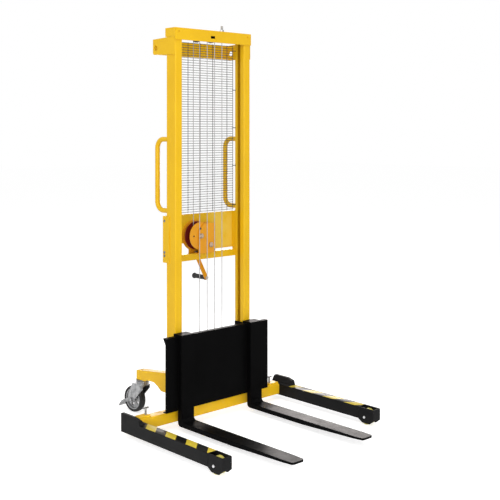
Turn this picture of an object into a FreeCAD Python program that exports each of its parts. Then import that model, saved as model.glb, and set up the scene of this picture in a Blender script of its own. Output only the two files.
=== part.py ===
import FreeCAD
import Part
import math
import os

# Hand winch stacker with straddle legs. Millimetres, +Z up, forks towards -Y, left is -X.
# While it is built, y = 0 is the middle of the mast and z = 0 the floor.

# Clearances
running_gap = 0.06
slide_gap = 0.4
side_gap = 0.5

# Mast posts: lipped channels that open towards each other
mast_width = 503.0
post_width = 43.5
post_depth = 72.0
post_wall = 4.0
post_corner = 4.5
front_lip = 28.5
post_slot = 23.0

# Crosshead and brackets of bent sheet
mast_height = 1980.0
sheet = 4.0
crosshead_front = 60.0
crosshead_skirt = 44.0
ear_height = 90.0
ear_end_height = 78.0
ear_reach = 142.0
ear_overlap = 70.0
ear_hole_radius = 13.5
ear_hole_inset = 24.0
ear_hole_drop = 6.0
band_height = 74.0
pin_window_width = 30.0
pin_window_height = 13.0
end_hole_radius = 4.0
end_hole_inset = 20.0
end_hole_drop = 19.0

# Base crossbeam
beam_size = 55.0
beam_wall = 4.0
beam_bottom = 31.0
beam_front = 40.0
beam_corner = 5.0
lock_boss_length = 66.0
lock_boss_height = 10.0

# Straddle legs
leg_spacing = 938.0
leg_width = 53.5
leg_height = 59.5
leg_bottom = 24.5
leg_wall = 4.0
leg_front = 697.0
leg_rear = 41.0
leg_block_height = 32.0
leg_block_width = 13.0
leg_block_base = 33.0
leg_block_ridge = 101.0
leg_block_knee = 141.0
leg_block_knee_drop = 10.0
leg_block_length = 148.0
leg_play = 3.0
slide_bar_length = 300.0
slide_bar_wall = 3.0
housing_plate = 5.0
housing_length = 97.0
housing_bottom = 9.0
housing_lip = 28.0
leg_roller_radius = 38.0
leg_roller_setback = 57.0
leg_axle_radius = 6.0
axle_head = 3.5

# Lock screws
lock_screw_radius = 5.0
lock_screw_inset = 50.0
lock_screw_height = 46.0
lock_bar_radius = 4.0
lock_bar_length = 34.0

# Rear caster arms and casters
arm_width = 44.0
arm_reach = 252.0
arm_top = 257.0
arm_end_top = 226.0
arm_root_bottom = 158.0
caster_height = 180.0
caster_setback = 23.0
caster_trail = 60.0
caster_turn = 5.0
caster_wheel_radius = 68.0
caster_wheel_width = 36.0
caster_rim_radius = 53.0
caster_race_radius = 35.0
caster_race_height = 8.0
king_pin_radius = 7.0
caster_axle_radius = 6.0
caster_plate = 4.0
crown_clearance = 15.0
crown_front = 28.0
crown_rear = 50.0
hub_holes = 5
hub_hole_radius = 9.0
pedal_reach = 98.0
pedal_drop = 47.0
pedal_pad_depth = 30.0

# Push handles
handle_radius = 12.5
handle_reach = 101.0
handle_low = 1066.0
handle_high = 1425.0
handle_bend = 46.0

# Mesh guard
guard_width = 384.0
guard_bottom_gap = 9.0
guard_top_gap = 62.0
guard_sheet = 3.0
guard_wire = 3.0
guard_bars = (-119.0, -39.0, 48.0, 146.0)
guard_setback = 5.0
guard_rows = 58
hook_radius = 2.0
hook_length = 24.0

# Wire rope and sheaves
rope_radius = 2.0
rope_y = -22.0
first_fall_x = -84.0
sheave_pitch_radius = 25.0
sheave_flange = 3.5
sheave_width = 12.0
sheave_pin_radius = 6.0
hanger_sheet = 3.0
top_sheave_drop = 35.0
carriage_sheave_z = 330.0
anchor_height = 30.0
anchor_radius = 6.0
socket_radius = 8.5
socket_length = 30.0
socket_drop = 8.0
lay_gap = 0.6
drum_half_turns = 3

# Winch, its axes run front to back
winch_front = -2.0
winch_sheet = 4.0
winch_margin = 15.0
winch_rear_margin = 36.0
rear_guard_radius = 79.0
winch_right = 38.0
winch_height = 153.0
drum_rise = 91.0
gear_module = 2.5
gear_teeth = 52
pinion_teeth = 13
gear_width = 7.0
tooth_slack = 0.18
flange_radius = 69.5
rear_flange_radius = 71.5
flange_sheet = 3.0
drum_core_length = 36.0
flange_hole_radius = 5.0
flange_hole_ring = 42.0
drum_shaft_radius = 9.0
pinion_x = 7.0
pinion_offset = 64.5
pinion_shaft_radius = 9.0
ratchet_radius = 28.0
ratchet_teeth = 16
ratchet_width = 6.0
pawl_pivot_x = 34.0
pawl_height = 9.0
pawl_pin_radius = 4.0
bracket_rise = 201.0
bracket_side_drop = 32.0
bracket_back_gap = 9.0
bracket_notch_height = 44.0
bracket_notch_end = 23.0
bracket_rear = 60.0
bracket_side_depth = 50.0
shelf_top = 840.0
shelf_height = 34.0

# Crank
crank_length = 227.4
crank_angle = -61.9
crank_width = 22.0
crank_sheet = 6.0
crank_y = 158.0
crank_hub_radius = 16.0
grip_radius = 12.0
grip_knob_radius = 15.5
grip_length = 102.0
grip_pin_radius = 5.0

# Carriage
carriage_width = 682.0
carriage_bottom = 98.0
carriage_top = 460.0
carriage_front = 79.0
carriage_sheet = 8.0
carriage_flange = 25.0
carriage_gusset = 32.0
cheek_sheet = 6.0
cheek_gap = 6.0
cheek_low = 112.0
cheek_high = 459.0
cheek_rear = 24.0
cheek_shoulder_drop = 29.0
roller_low = 150.0
roller_high = 402.0
mast_roller_width = 26.0
roller_pin_radius = 6.0

# Forks
fork_spacing = 461.0
fork_width = 79.0
fork_shank = 28.0
fork_bottom = 24.0
fork_heel_thickness = 23.0
fork_tip_thickness = 10.0
fork_tip = 861.0
fork_tip_taper = 4.0
fork_tip_length = 60.0
fork_heel_radius = 18.0
fork_hook = 9.0
fork_hook_lip = 8.5
fork_hook_drop = 22.0

# Fasteners
bolt_radius = 8.0
bolt_head = 6.0
side_bolt_radius = 5.5
side_bolt_head = 4.0
side_bolt_y = 45.0

# Sizes that follow from the ones above
vector = FreeCAD.Vector
half_mast = mast_width / 2
half_depth = post_depth / 2
post_x = half_mast - post_width / 2
post_inner = half_mast - post_width
beam_top = beam_bottom + beam_size
beam_rear = beam_size - beam_front
beam_middle_y = (beam_rear - beam_front) / 2
leg_inner = leg_spacing / 2
leg_outer = leg_inner + leg_width
leg_x = (leg_inner + leg_outer) / 2
leg_top = leg_bottom + leg_height
beam_half = leg_inner - leg_play
roof = mast_height - sheet
top_sheave_z = mast_height - top_sheave_drop
bracket_high = shelf_top + bracket_rise
bracket_side_low = shelf_top - bracket_side_drop
bracket_back_low = shelf_top + bracket_back_gap
drum_z = shelf_top + drum_rise
guard_high = mast_height - guard_top_gap
guard_low = bracket_high + guard_bottom_gap
sheave_radius = sheave_pitch_radius + sheave_flange
fall_x = [first_fall_x + 2 * sheave_pitch_radius * count for count in range(4)]
lead_y = rope_y + 2 * sheave_pitch_radius
lead_sheave_y = (rope_y + lead_y) / 2
gear_radius = gear_module * gear_teeth / 2
pinion_radius = gear_module * pinion_teeth / 2
drum_front = winch_front + winch_sheet + 2
gear_front = drum_front + flange_sheet + drum_core_length
winch_rear = bracket_rear - sheet
gear_rear = gear_front + gear_width
drum_x = pinion_x - pinion_offset
pinion_z = drum_z - math.sqrt((gear_radius + pinion_radius) ** 2 - (pinion_x - drum_x) ** 2)
rope_turn_radius = drum_x - first_fall_x
winch_left = drum_x - winch_margin
core_radius = rope_turn_radius - rope_radius - slide_gap
rope_pitch = 2 * rope_radius + lay_gap
crank_end_x = pinion_x + crank_length * math.cos(math.radians(crank_angle))
crank_end_z = pinion_z + crank_length * math.sin(math.radians(crank_angle))
carriage_rear = carriage_front - carriage_sheet
cheek_outer = post_inner - cheek_gap
mast_roller_radius = half_depth - post_wall - side_gap
fork_x = fork_spacing / 2
fork_rear = carriage_front + slide_gap
fork_front = fork_rear + fork_shank
caster_y = half_depth + arm_reach - caster_setback
ear_top = mast_height - crosshead_skirt
guard_front = half_depth - guard_setback
lock_screw_x = beam_half - lock_screw_inset
return_sheave_x = (fall_x[1] + fall_x[2]) / 2
carriage_sheave_x = [(fall_x[0] + fall_x[1]) / 2, (fall_x[2] + fall_x[3]) / 2]
socket_top = roof - socket_drop
crown_low = 2 * caster_wheel_radius + crown_clearance
crown_top = crown_low + caster_plate
ratchet_front = bracket_rear + bolt_head + 2
pawl_x = pinion_x + pawl_pivot_x
pawl_z = pinion_z + ratchet_radius + slide_gap + pawl_height / 2


def box(x, y, z):
    return Part.makeBox(x[1] - x[0], y[1] - y[0], z[1] - z[0], vector(x[0], y[0], z[0]))


def rod(radius, start, end):
    along = vector(*end) - vector(*start)
    return Part.makeCylinder(radius, along.Length, vector(*start), along)


def hexagon(radius, start, end):
    along = vector(*end) - vector(*start)
    turn = FreeCAD.Rotation(vector(0, 0, 1), along)
    corners = [vector(radius * math.cos(k * math.pi / 3), radius * math.sin(k * math.pi / 3), 0)
               for k in range(7)]
    face = Part.Face(Part.makePolygon([turn.multVec(corner) + vector(*start) for corner in corners]))
    return face.extrude(along)


def plate_yz(outline, x_low, x_high):
    corners = [vector(x_low, y, z) for y, z in outline]
    return Part.Face(Part.makePolygon(corners + corners[:1])).extrude(vector(x_high - x_low, 0, 0))


def plate_xz(outline, y_low, y_high):
    corners = [vector(x, y_low, z) for x, z in outline]
    return Part.Face(Part.makePolygon(corners + corners[:1])).extrude(vector(0, y_high - y_low, 0))


def plate_xy(outline, z_low, z_high):
    corners = [vector(x, y, z_low) for x, y in outline]
    return Part.Face(Part.makePolygon(corners + corners[:1])).extrude(vector(0, 0, z_high - z_low))


def edges_along(shape, axis):
    found = []
    for edge in shape.Edges:
        if len(edge.Vertexes) == 2:
            step = edge.Vertexes[1].Point - edge.Vertexes[0].Point
            if abs(abs(step.dot(axis)) - step.Length) < 1e-6:
                found.append(edge)
    return found


def rounded_along(shape, axis, radius, keep=None):
    edges = edges_along(shape, axis)
    if keep:
        edges = [edge for edge in edges if keep(edge.CenterOfMass)]
    return shape.makeFillet(radius, edges)


def mirrored(shape):
    return shape.mirror(vector(0, 0, 0), vector(1, 0, 0))


def group(solids):
    return Part.makeCompound(solids)


def turned_about(outline, start, axis):
    # outline is (radius, distance along the axis), a closed section turned once round
    frame = FreeCAD.Rotation(vector(0, 0, 1), vector(*axis))
    corners = [vector(r, 0, t) for r, t in outline]
    face = Part.Face(Part.makePolygon(corners + corners[:1]))
    solid = face.revolve(vector(0, 0, 0), vector(0, 0, 1), 360)
    solid.Placement = FreeCAD.Placement(vector(*start), frame)
    return solid


def bent_rod(radius, points, bend):
    points = [vector(*point) for point in points]
    edges = []
    start = points[0]
    for before, corner, after in zip(points, points[1:], points[2:]):
        back = (before - corner).normalize()
        ahead = (after - corner).normalize()
        half_turn = (math.pi - back.getAngle(ahead)) / 2
        setback = bend * math.tan(half_turn)
        middle = corner + (back + ahead).normalize() * (bend / math.cos(half_turn) - bend)
        edges.append(Part.LineSegment(start, corner + back * setback).toShape())
        edges.append(Part.Arc(corner + back * setback, middle, corner + ahead * setback).toShape())
        start = corner + ahead * setback
    edges.append(Part.LineSegment(start, points[-1]).toShape())
    section = Part.Wire([Part.makeCircle(radius, points[0], points[1] - points[0])])
    return Part.Wire(edges).makePipeShell([section], True, False)


def half_ring(radius, middle, axis, first):
    # a rope bent half way round a sheave, from the point first, turning about the axis
    start = vector(*middle) + vector(*first) * radius
    across = vector(*axis).cross(vector(*first))
    face = Part.Face(Part.Wire([Part.makeCircle(rope_radius, start, across)]))
    return face.revolve(vector(*middle), vector(*axis), 180)


def post():
    whole = box((-half_mast, -post_inner), (-half_depth, half_depth), (beam_top, roof))
    whole = rounded_along(whole, vector(0, 0, 1), post_corner)
    hollow = box((-half_mast + post_wall, -post_inner - post_wall),
                 (post_wall - half_depth, half_depth - post_wall),
                 (beam_top, roof))
    hollow = rounded_along(hollow, vector(0, 0, 1), post_corner - post_wall)
    slot_front = front_lip - half_depth
    slot = box((-post_inner - 2 * post_wall, -post_inner), (slot_front, slot_front + post_slot),
               (beam_top, roof))
    return whole.cut(hollow).cut(slot)


def crosshead():
    skirt = mast_height - crosshead_skirt
    low = mast_height - crosshead_front
    shell = box((-half_mast - sheet, half_mast + sheet), (-half_depth - sheet, half_depth + sheet),
                (low, mast_height))
    shell = rounded_along(shell, vector(1, 0, 0), sheet / 2, lambda point: point.z > roof)
    shell = shell.cut(box((-half_mast, half_mast), (-half_depth, half_depth), (low, roof)))
    shell = shell.cut(box((-half_mast - sheet, half_mast + sheet), (-half_depth, half_depth + sheet),
                          (low, skirt)))
    anchor_hole = rod(anchor_radius, (fall_x[3], rope_y, roof), (fall_x[3], rope_y, mast_height))
    window = box((return_sheave_x - pin_window_width / 2, return_sheave_x + pin_window_width / 2),
                 (-half_depth - sheet, -half_depth),
                 (top_sheave_z - pin_window_height / 2, top_sheave_z + pin_window_height / 2))
    end_hole = rod(end_hole_radius, (end_hole_inset - half_mast, -half_depth - sheet,
                                     mast_height - end_hole_drop),
                   (end_hole_inset - half_mast, -half_depth, mast_height - end_hole_drop))
    return shell.cut(anchor_hole).cut(window).cut(end_hole).cut(mirrored(end_hole))


def upper_bracket():
    middle = ear_top - ear_height / 2
    front = half_depth - ear_overlap
    outline = [(front, ear_top), (ear_reach, middle + ear_end_height / 2),
               (ear_reach, middle - ear_end_height / 2),
               (front, ear_top - ear_height)]
    ear = plate_yz(outline, -half_mast - sheet, -half_mast)
    ear = rounded_along(ear, vector(1, 0, 0), 3 * sheet,
                        lambda point: point.y > ear_reach - 1 and point.z < middle)
    hole_y = ear_reach - ear_hole_inset
    hole_z = middle - ear_hole_drop
    ear = ear.cut(rod(ear_hole_radius, (-half_mast - sheet, hole_y, hole_z), (-half_mast, hole_y, hole_z)))
    band = box((-half_mast, half_mast), (ear_reach - sheet, ear_reach),
               (middle - band_height / 2, middle + band_height / 2))
    return ear.fuse([band, mirrored(ear)]).removeSplitter()


def winch_bracket():
    side = box((-half_mast - sheet, -half_mast), (bracket_rear - bracket_side_depth, bracket_rear),
               (bracket_side_low, bracket_high))
    back = box((-half_mast, half_mast), (bracket_rear - sheet, bracket_rear),
               (bracket_back_low, bracket_high))
    notch = box((-post_inner, drum_x - bracket_notch_end), (bracket_rear - sheet, bracket_rear),
                (bracket_back_low, bracket_back_low + bracket_notch_height))
    wall = box((-post_inner - sheet, -post_inner), (half_depth, bracket_rear - sheet),
               (bracket_side_low, bracket_high))
    whole = side.fuse([back.cut(notch), mirrored(side), wall, mirrored(wall)]).removeSplitter()
    shaft_hole = rod(pinion_shaft_radius + 2 * side_gap, (pinion_x, bracket_rear - sheet, pinion_z),
                     (pinion_x, bracket_rear, pinion_z))
    drum_hole = rod(drum_shaft_radius, (drum_x, bracket_rear - sheet, drum_z), (drum_x, bracket_rear, drum_z))
    pawl_hole = rod(pawl_pin_radius, (pawl_x, bracket_rear - sheet, pawl_z), (pawl_x, bracket_rear, pawl_z))
    return whole.cut(shaft_hole).cut(drum_hole).cut(pawl_hole)


def winch_shelf():
    front = half_depth - 2 * sheet
    upright = box((-post_inner, post_inner), (front, front + sheet), (shelf_top - shelf_height, shelf_top))
    ledge = box((-post_inner, post_inner), (front + sheet, bracket_rear), (shelf_top - sheet, shelf_top))
    return upright.fuse(ledge).removeSplitter()


def caster_arm():
    root = half_depth
    end = half_depth + arm_reach
    flat = end - 2 * caster_race_radius
    outline = [(root, arm_top), (end, arm_end_top), (end, caster_height), (flat, caster_height),
               (root + arm_reach * 0.62, caster_height + 10), (root + arm_reach * 0.42, caster_height + 11),
               (root + arm_reach * 0.28, caster_height - 4), (root + arm_reach * 0.18, arm_root_bottom),
               (root, arm_root_bottom)]
    arm = plate_yz(outline, -post_x - arm_width / 2, -post_x + arm_width / 2)
    arm = rounded_along(arm, vector(1, 0, 0), 12,
                        lambda point: root + 20 < point.y < end - 1 and point.z < arm_end_top)
    return arm.cut(rod(king_pin_radius, (-post_x, caster_y, caster_height), (-post_x, caster_y, arm_top)))


def push_handle():
    reach = half_depth + handle_reach
    route = [(-post_x, half_depth, handle_high), (-post_x, reach, handle_high), (-post_x, reach, handle_low),
             (-post_x, half_depth, handle_low)]
    return bent_rod(handle_radius, route, handle_bend)


def mesh_guard():
    edge_bar = (guard_width - guard_wire) / 2
    bars = [-edge_bar, *guard_bars, edge_bar]
    pitch_z = (guard_high - guard_low - guard_wire) / guard_rows
    outline = Part.makePolygon([vector(x, guard_front, z) for x, z in (
        (-guard_width / 2, guard_low), (guard_width / 2, guard_low), (guard_width / 2, guard_high),
        (-guard_width / 2, guard_high), (-guard_width / 2, guard_low))])
    gaps = []
    for bar, next_bar in zip(bars, bars[1:]):
        left = bar + guard_wire / 2
        right = next_bar - guard_wire / 2
        for row in range(guard_rows):
            low = guard_low + guard_wire + row * pitch_z
            high = low + pitch_z - guard_wire
            gaps.append(Part.makePolygon([vector(x, guard_front, z) for x, z in (
                (left, low), (left, high), (right, high), (right, low), (left, low))]))
    face = Part.makeFace([outline] + gaps, "Part::FaceMakerBullseye")
    return face.extrude(vector(0, guard_sheet, 0))


def guard_hooks():
    hooks = []
    y = guard_front - hook_radius
    for share in (0.03, 0.27, 0.5, 0.73, 0.97):
        z = guard_low + share * (guard_high - guard_low)
        hook = rod(hook_radius, (-post_inner, y, z), (hook_length - post_inner, y, z))
        hooks += [hook, mirrored(hook)]
    return group(hooks)


def base_beam():
    tube = box((-beam_half, beam_half), (-beam_front, beam_rear), (beam_bottom, beam_top))
    tube = rounded_along(tube, vector(1, 0, 0), beam_corner)
    boss = box((-beam_half, lock_boss_length - beam_half),
               (beam_corner - beam_front, beam_rear - beam_corner),
               (beam_top - beam_wall, beam_top + lock_boss_height))
    boss = boss.makeFillet(beam_corner, [edge for edge in boss.Edges if edge.CenterOfMass.z > beam_top + 1])
    tube = tube.fuse([boss, mirrored(boss)])
    tube = tube.cut(box((-beam_half, beam_half), (beam_wall - beam_front, beam_rear - beam_wall),
                        (beam_bottom + beam_wall, beam_top - beam_wall)))
    hole = rod(lock_screw_radius + slide_gap, (-lock_screw_x, beam_middle_y, beam_top - beam_wall),
               (-lock_screw_x, beam_middle_y, beam_top + lock_boss_height))
    return tube.cut(hole).cut(mirrored(hole)).removeSplitter()


def lock_screw():
    low = beam_top - beam_wall
    high = beam_top + lock_screw_height
    stem = rod(lock_screw_radius, (-lock_screw_x, beam_middle_y, low), (-lock_screw_x, beam_middle_y, high))
    half = lock_bar_length / 2
    bar = rod(lock_bar_radius, (-lock_screw_x - half, beam_middle_y, high - lock_bar_radius),
              (-lock_screw_x + half, beam_middle_y, high - lock_bar_radius))
    return stem.fuse(bar).removeSplitter()


def leg():
    tube_front = housing_length - leg_front
    tube = box((-leg_outer, -leg_inner), (tube_front, leg_rear), (leg_bottom, leg_top))
    tube = rounded_along(tube, vector(0, 1, 0), leg_wall / 2)
    tube = tube.cut(box((-leg_outer + leg_wall, -leg_inner - leg_wall), (tube_front, leg_rear - leg_wall),
                        (leg_bottom + leg_wall, leg_top - leg_wall)))
    block_top = leg_top + leg_block_height
    foot = leg_rear - leg_block_length
    block = plate_yz([(leg_rear, leg_top - leg_wall), (leg_rear, block_top),
                      (leg_rear - leg_block_ridge, block_top),
                      (leg_rear - leg_block_knee, block_top - leg_block_knee_drop), (foot, leg_top),
                      (foot, leg_top - leg_wall)],
                     -leg_outer, leg_block_base - leg_outer)
    block = rounded_along(block, vector(1, 0, 0), 2 * leg_wall, lambda point: point.z > leg_top + 1)
    slope = plate_xz([(leg_block_width - leg_outer, block_top), (leg_block_base - leg_outer, leg_top),
                      (leg_block_base - leg_outer, block_top)], foot, leg_rear)
    block = block.cut(slope)
    cheek_outline = [(tube_front, leg_top), (-leg_front, leg_top), (-leg_front, housing_lip),
                     (24 - leg_front, housing_bottom), (72 - leg_front, housing_bottom),
                     (tube_front, leg_bottom)]
    side = plate_yz(cheek_outline, -leg_outer, -leg_outer + housing_plate)
    side = rounded_along(side, vector(1, 0, 0), 6, lambda point: point.y < 75 - leg_front)
    nose = box((-leg_outer + housing_plate, -leg_inner - housing_plate),
               (-leg_front, housing_plate - leg_front), (housing_lip, leg_top))
    other_side = side.translated(vector(leg_width - housing_plate, 0, 0))
    shell = tube.fuse([block, side, other_side, nose]).removeSplitter()
    axle_y = leg_roller_setback - leg_front
    axle = rod(leg_axle_radius, (-leg_outer - axle_head, axle_y, leg_roller_radius),
               (-leg_inner + axle_head, axle_y, leg_roller_radius))
    bar_size = beam_size - 2 * beam_wall - 2 * slide_gap
    bar_low = beam_bottom + beam_wall + slide_gap
    bar_front = beam_wall + slide_gap - beam_front
    bar = box((-leg_inner, slide_bar_length - leg_inner), (bar_front, bar_front + bar_size),
              (bar_low, bar_low + bar_size))
    bar = bar.cut(box((-leg_inner, slide_bar_length - leg_inner),
                      (bar_front + slide_bar_wall, bar_front + bar_size - slide_bar_wall),
                      (bar_low + slide_bar_wall, bar_low + bar_size - slide_bar_wall)))
    return group([shell.cut(axle), axle, bar])


def leg_roller():
    half = leg_width / 2 - housing_plate - side_gap
    tread = half - 2
    outline = [(leg_axle_radius + running_gap, -half), (leg_axle_radius + 7, -half),
               (leg_axle_radius + 7, -tread),
               (leg_roller_radius - 3, -tread), (leg_roller_radius, 3 - tread),
               (leg_roller_radius, tread - 3),
               (leg_roller_radius - 3, tread), (leg_axle_radius + 7, tread), (leg_axle_radius + 7, half),
               (leg_axle_radius + running_gap, half)]
    return turned_about(outline, (-leg_x, leg_roller_setback - leg_front, leg_roller_radius), (1, 0, 0))


def wheel_half_gap():
    return caster_wheel_width / 2 + 4


def caster_turned(shape):
    # casters are drawn trailing along +Y from a swivel at the origin, then turned and put in place
    shape = shape.copy()
    shape.rotate(vector(0, 0, 0), vector(0, 0, 1), caster_turn)
    shape.translate(vector(-post_x, caster_y, 0))
    return shape


def caster_mount():
    race_low = caster_height - caster_race_height
    race = Part.makeCone(caster_race_radius - 4, caster_race_radius, caster_race_height,
                         vector(0, 0, race_low))
    pin_low = caster_wheel_radius * 2 + 3
    pin = rod(king_pin_radius, (0, 0, pin_low), (0, 0, caster_height + 14))
    nut = hexagon(king_pin_radius + 4, (0, 0, pin_low), (0, 0, crown_low - slide_gap))
    return caster_turned(race.fuse([pin, nut]).removeSplitter())


def caster_fork():
    race_low = caster_height - caster_race_height
    half = wheel_half_gap()
    crown = box((-half - caster_plate, half + caster_plate), (-crown_front, crown_rear),
                (crown_low, crown_top))
    ring = rod(caster_race_radius - 2, (0, 0, crown_low), (0, 0, race_low - slide_gap))
    hub_z = caster_wheel_radius
    outline = [(-crown_front, crown_top), (crown_rear, crown_top), (caster_trail + 22, hub_z + 30),
               (caster_trail + 24, hub_z), (caster_trail + 15, hub_z - 14), (caster_trail - 2, hub_z - 17),
               (caster_trail - 15, hub_z - 8), (-crown_front, crown_low - 16)]
    cheek = plate_yz(outline, half, half + caster_plate)
    cheek = rounded_along(cheek, vector(1, 0, 0), 5, lambda point: point.z < crown_low - 1)
    fork = crown.fuse([ring, cheek, mirrored(cheek)]).removeSplitter()
    fork = fork.cut(rod(king_pin_radius + running_gap, (0, 0, crown_low - 1), (0, 0, race_low)))
    reach = half + 3 * caster_plate
    axle = rod(caster_axle_radius, (-reach, caster_trail, hub_z), (reach, caster_trail, hub_z))
    nut = hexagon(caster_axle_radius + 4, (-reach, caster_trail, hub_z),
                  (-reach + caster_plate, caster_trail, hub_z))
    axle = axle.fuse([nut, mirrored(nut)]).removeSplitter()
    return group([caster_turned(fork.cut(axle)), caster_turned(axle)])


def caster_tyre():
    half = caster_wheel_width / 2
    outline = [(caster_rim_radius, -half + 3), (caster_wheel_radius - 7, -half),
               (caster_wheel_radius - 2, 6 - half),
               (caster_wheel_radius, -half / 3), (caster_wheel_radius, half / 3),
               (caster_wheel_radius - 2, half - 6), (caster_wheel_radius - 7, half),
               (caster_rim_radius, half - 3)]
    return caster_turned(turned_about(outline, (0, caster_trail, caster_wheel_radius), (1, 0, 0)))


def caster_hub():
    half = caster_wheel_width / 2 - 3
    boss = wheel_half_gap() - side_gap
    bore = caster_axle_radius + running_gap
    outline = [(bore, -boss), (bore + 8, -boss), (bore + 9, -5), (caster_rim_radius - 7, -5),
               (caster_rim_radius - 4, -half),
               (caster_rim_radius, -half), (caster_rim_radius, half), (caster_rim_radius - 4, half),
               (caster_rim_radius - 7, 5), (bore + 9, 5), (bore + 8, boss), (bore, boss)]
    hub = turned_about(outline, (0, caster_trail, caster_wheel_radius), (1, 0, 0))
    ring = (bore + 9 + caster_rim_radius - 7) / 2
    for count in range(hub_holes):
        turn = 2 * math.pi * count / hub_holes
        y = caster_trail + ring * math.cos(turn)
        z = caster_wheel_radius + ring * math.sin(turn)
        hub = hub.cut(rod(hub_hole_radius, (-half, y, z), (half, y, z)))
    return caster_turned(hub)


def brake_pedal():
    low = wheel_half_gap() + caster_plate + slide_gap
    high = low + 2.6
    hub_z = caster_wheel_radius
    tip = caster_trail + pedal_reach
    tip_z = hub_z - pedal_drop
    root = tip - pedal_pad_depth
    root_z = tip_z + pedal_pad_depth
    outline = [(caster_trail - 12, hub_z + 5), (caster_trail - 5, hub_z + 12), (caster_trail + 9, hub_z + 11),
               (root + 4, root_z), (tip, tip_z), (tip - 4, tip_z - 4), (root - 4, root_z - 8),
               (caster_trail + 6, hub_z - 12), (caster_trail - 5, hub_z - 12), (caster_trail - 12, hub_z - 5)]
    arm = plate_yz(outline, low, high)
    pad = plate_yz([(root + 4, root_z), (tip, tip_z), (tip - 4, tip_z - 4), (root, root_z - 4)], -high, high)
    hole = rod(caster_axle_radius + running_gap, (-high, caster_trail, hub_z), (high, caster_trail, hub_z))
    return caster_turned(arm.fuse([mirrored(arm), pad]).cut(hole).removeSplitter())


def sheave(middle, axis):
    half = sheave_width / 2
    root = sheave_pitch_radius - rope_radius - slide_gap
    half_root = rope_radius + side_gap
    outline = [(sheave_pin_radius + running_gap, -half), (sheave_radius, -half), (sheave_radius, -half + 1),
               (root, -half_root), (root, half_root), (sheave_radius, half - 1), (sheave_radius, half),
               (sheave_pin_radius + running_gap, half)]
    return turned_about(outline, middle, axis)


def sheave_hangers():
    near = sheave_width / 2 + side_gap
    far = near + hanger_sheet
    reach = sheave_pin_radius + 8
    low = top_sheave_z - reach
    plates = []
    for left, right in ((-far, -near), (near, far)):
        plates.append(box((first_fall_x + left, first_fall_x + right),
                          (lead_sheave_y - reach, lead_sheave_y + reach),
                          (low, roof)))
        plates.append(box((return_sheave_x - reach, return_sheave_x + reach),
                          (rope_y + left, rope_y + right), (low, roof)))
    lead_pin = rod(sheave_pin_radius, (first_fall_x - far - 3, lead_sheave_y, top_sheave_z),
                   (first_fall_x + far + 3, lead_sheave_y, top_sheave_z))
    head_front = -half_depth - sheet
    return_pin = rod(sheave_pin_radius, (return_sheave_x, head_front, top_sheave_z),
                     (return_sheave_x, rope_y + far + 3, top_sheave_z))
    return group([plate.cut(lead_pin).cut(return_pin) for plate in plates] + [lead_pin, return_pin])


def rope_anchor():
    x = fall_x[3]
    stud = rod(anchor_radius, (x, rope_y, socket_top), (x, rope_y, mast_height + anchor_height))
    nut = hexagon(anchor_radius + 5, (x, rope_y, mast_height), (x, rope_y, mast_height + 10))
    socket = rod(socket_radius, (x, rope_y, socket_top - socket_length), (x, rope_y, socket_top))
    return stud.fuse([nut, socket]).removeSplitter()


def drum_point(turn, y, radius):
    return vector(drum_x + radius * math.cos(turn), y, drum_z + radius * math.sin(turn))


def wound_rope(first_turn, first_y, half_turns, step):
    # half turns in planes that lean alternately, so the rope's line stays smooth
    lean_radius = math.hypot(rope_turn_radius, step / 2)
    edges = []
    for count in range(half_turns):
        turn = first_turn + count * math.pi
        y = first_y + count * step
        edges.append(Part.Arc(drum_point(turn, y, rope_turn_radius),
                              drum_point(turn + math.pi / 2, y + step / 2, lean_radius),
                              drum_point(turn + math.pi, y + step, rope_turn_radius)).toShape())
    last = edges[-1].Vertexes[1].Point
    heading = 1 if math.cos(first_turn + half_turns * math.pi) > 0 else -1
    edges.append(Part.LineSegment(last, last + vector(0, 0, 2 * rope_radius * heading)).toShape())
    return edges


def rope_solid(edges):
    start = edges[0].Vertexes[0].Point
    section = Part.Wire([Part.makeCircle(rope_radius, start, edges[0].tangentAt(edges[0].FirstParameter))])
    return Part.Wire(edges).makePipeShell([section], True, False)


def least_gap(edges):
    # least distance between the rope's surfaces on neighbouring turns
    points = [edge.valueAt(edge.FirstParameter + share * (edge.LastParameter - edge.FirstParameter) / 24)
              for edge in edges for share in range(24)]
    apart = [a.distanceToPoint(b) for k, a in enumerate(points) for b in points[k + 30:]]
    return min(apart) - 2 * rope_radius


def rope_lead():
    top = vector(first_fall_x, lead_y, top_sheave_z)
    foot = vector(first_fall_x, lead_y, drum_z)
    line = [Part.LineSegment(top, foot).toShape()] + wound_rope(math.pi, lead_y, 1, -rope_pitch / 2)
    over_lead = half_ring(sheave_pitch_radius, (first_fall_x, lead_sheave_y, top_sheave_z), (1, 0, 0),
                          (0, 1, 0))
    over_return = half_ring(sheave_pitch_radius, (return_sheave_x, rope_y, top_sheave_z), (0, -1, 0),
                            (1, 0, 0))
    return group([rope_solid(line).fuse(over_lead).removeSplitter(), over_return])


def rope_falls():
    falls = [rod(rope_radius, (x, rope_y, carriage_sheave_z), (x, rope_y, top_sheave_z)) for x in fall_x[:3]]
    falls.append(rod(rope_radius, (fall_x[3], rope_y, carriage_sheave_z),
                     (fall_x[3], rope_y, socket_top - socket_length)))
    return group(falls)


def rope_loops():
    return group([half_ring(sheave_pitch_radius, (x, rope_y, carriage_sheave_z), (0, 1, 0), (1, 0, 0))
                  for x in carriage_sheave_x])


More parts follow.
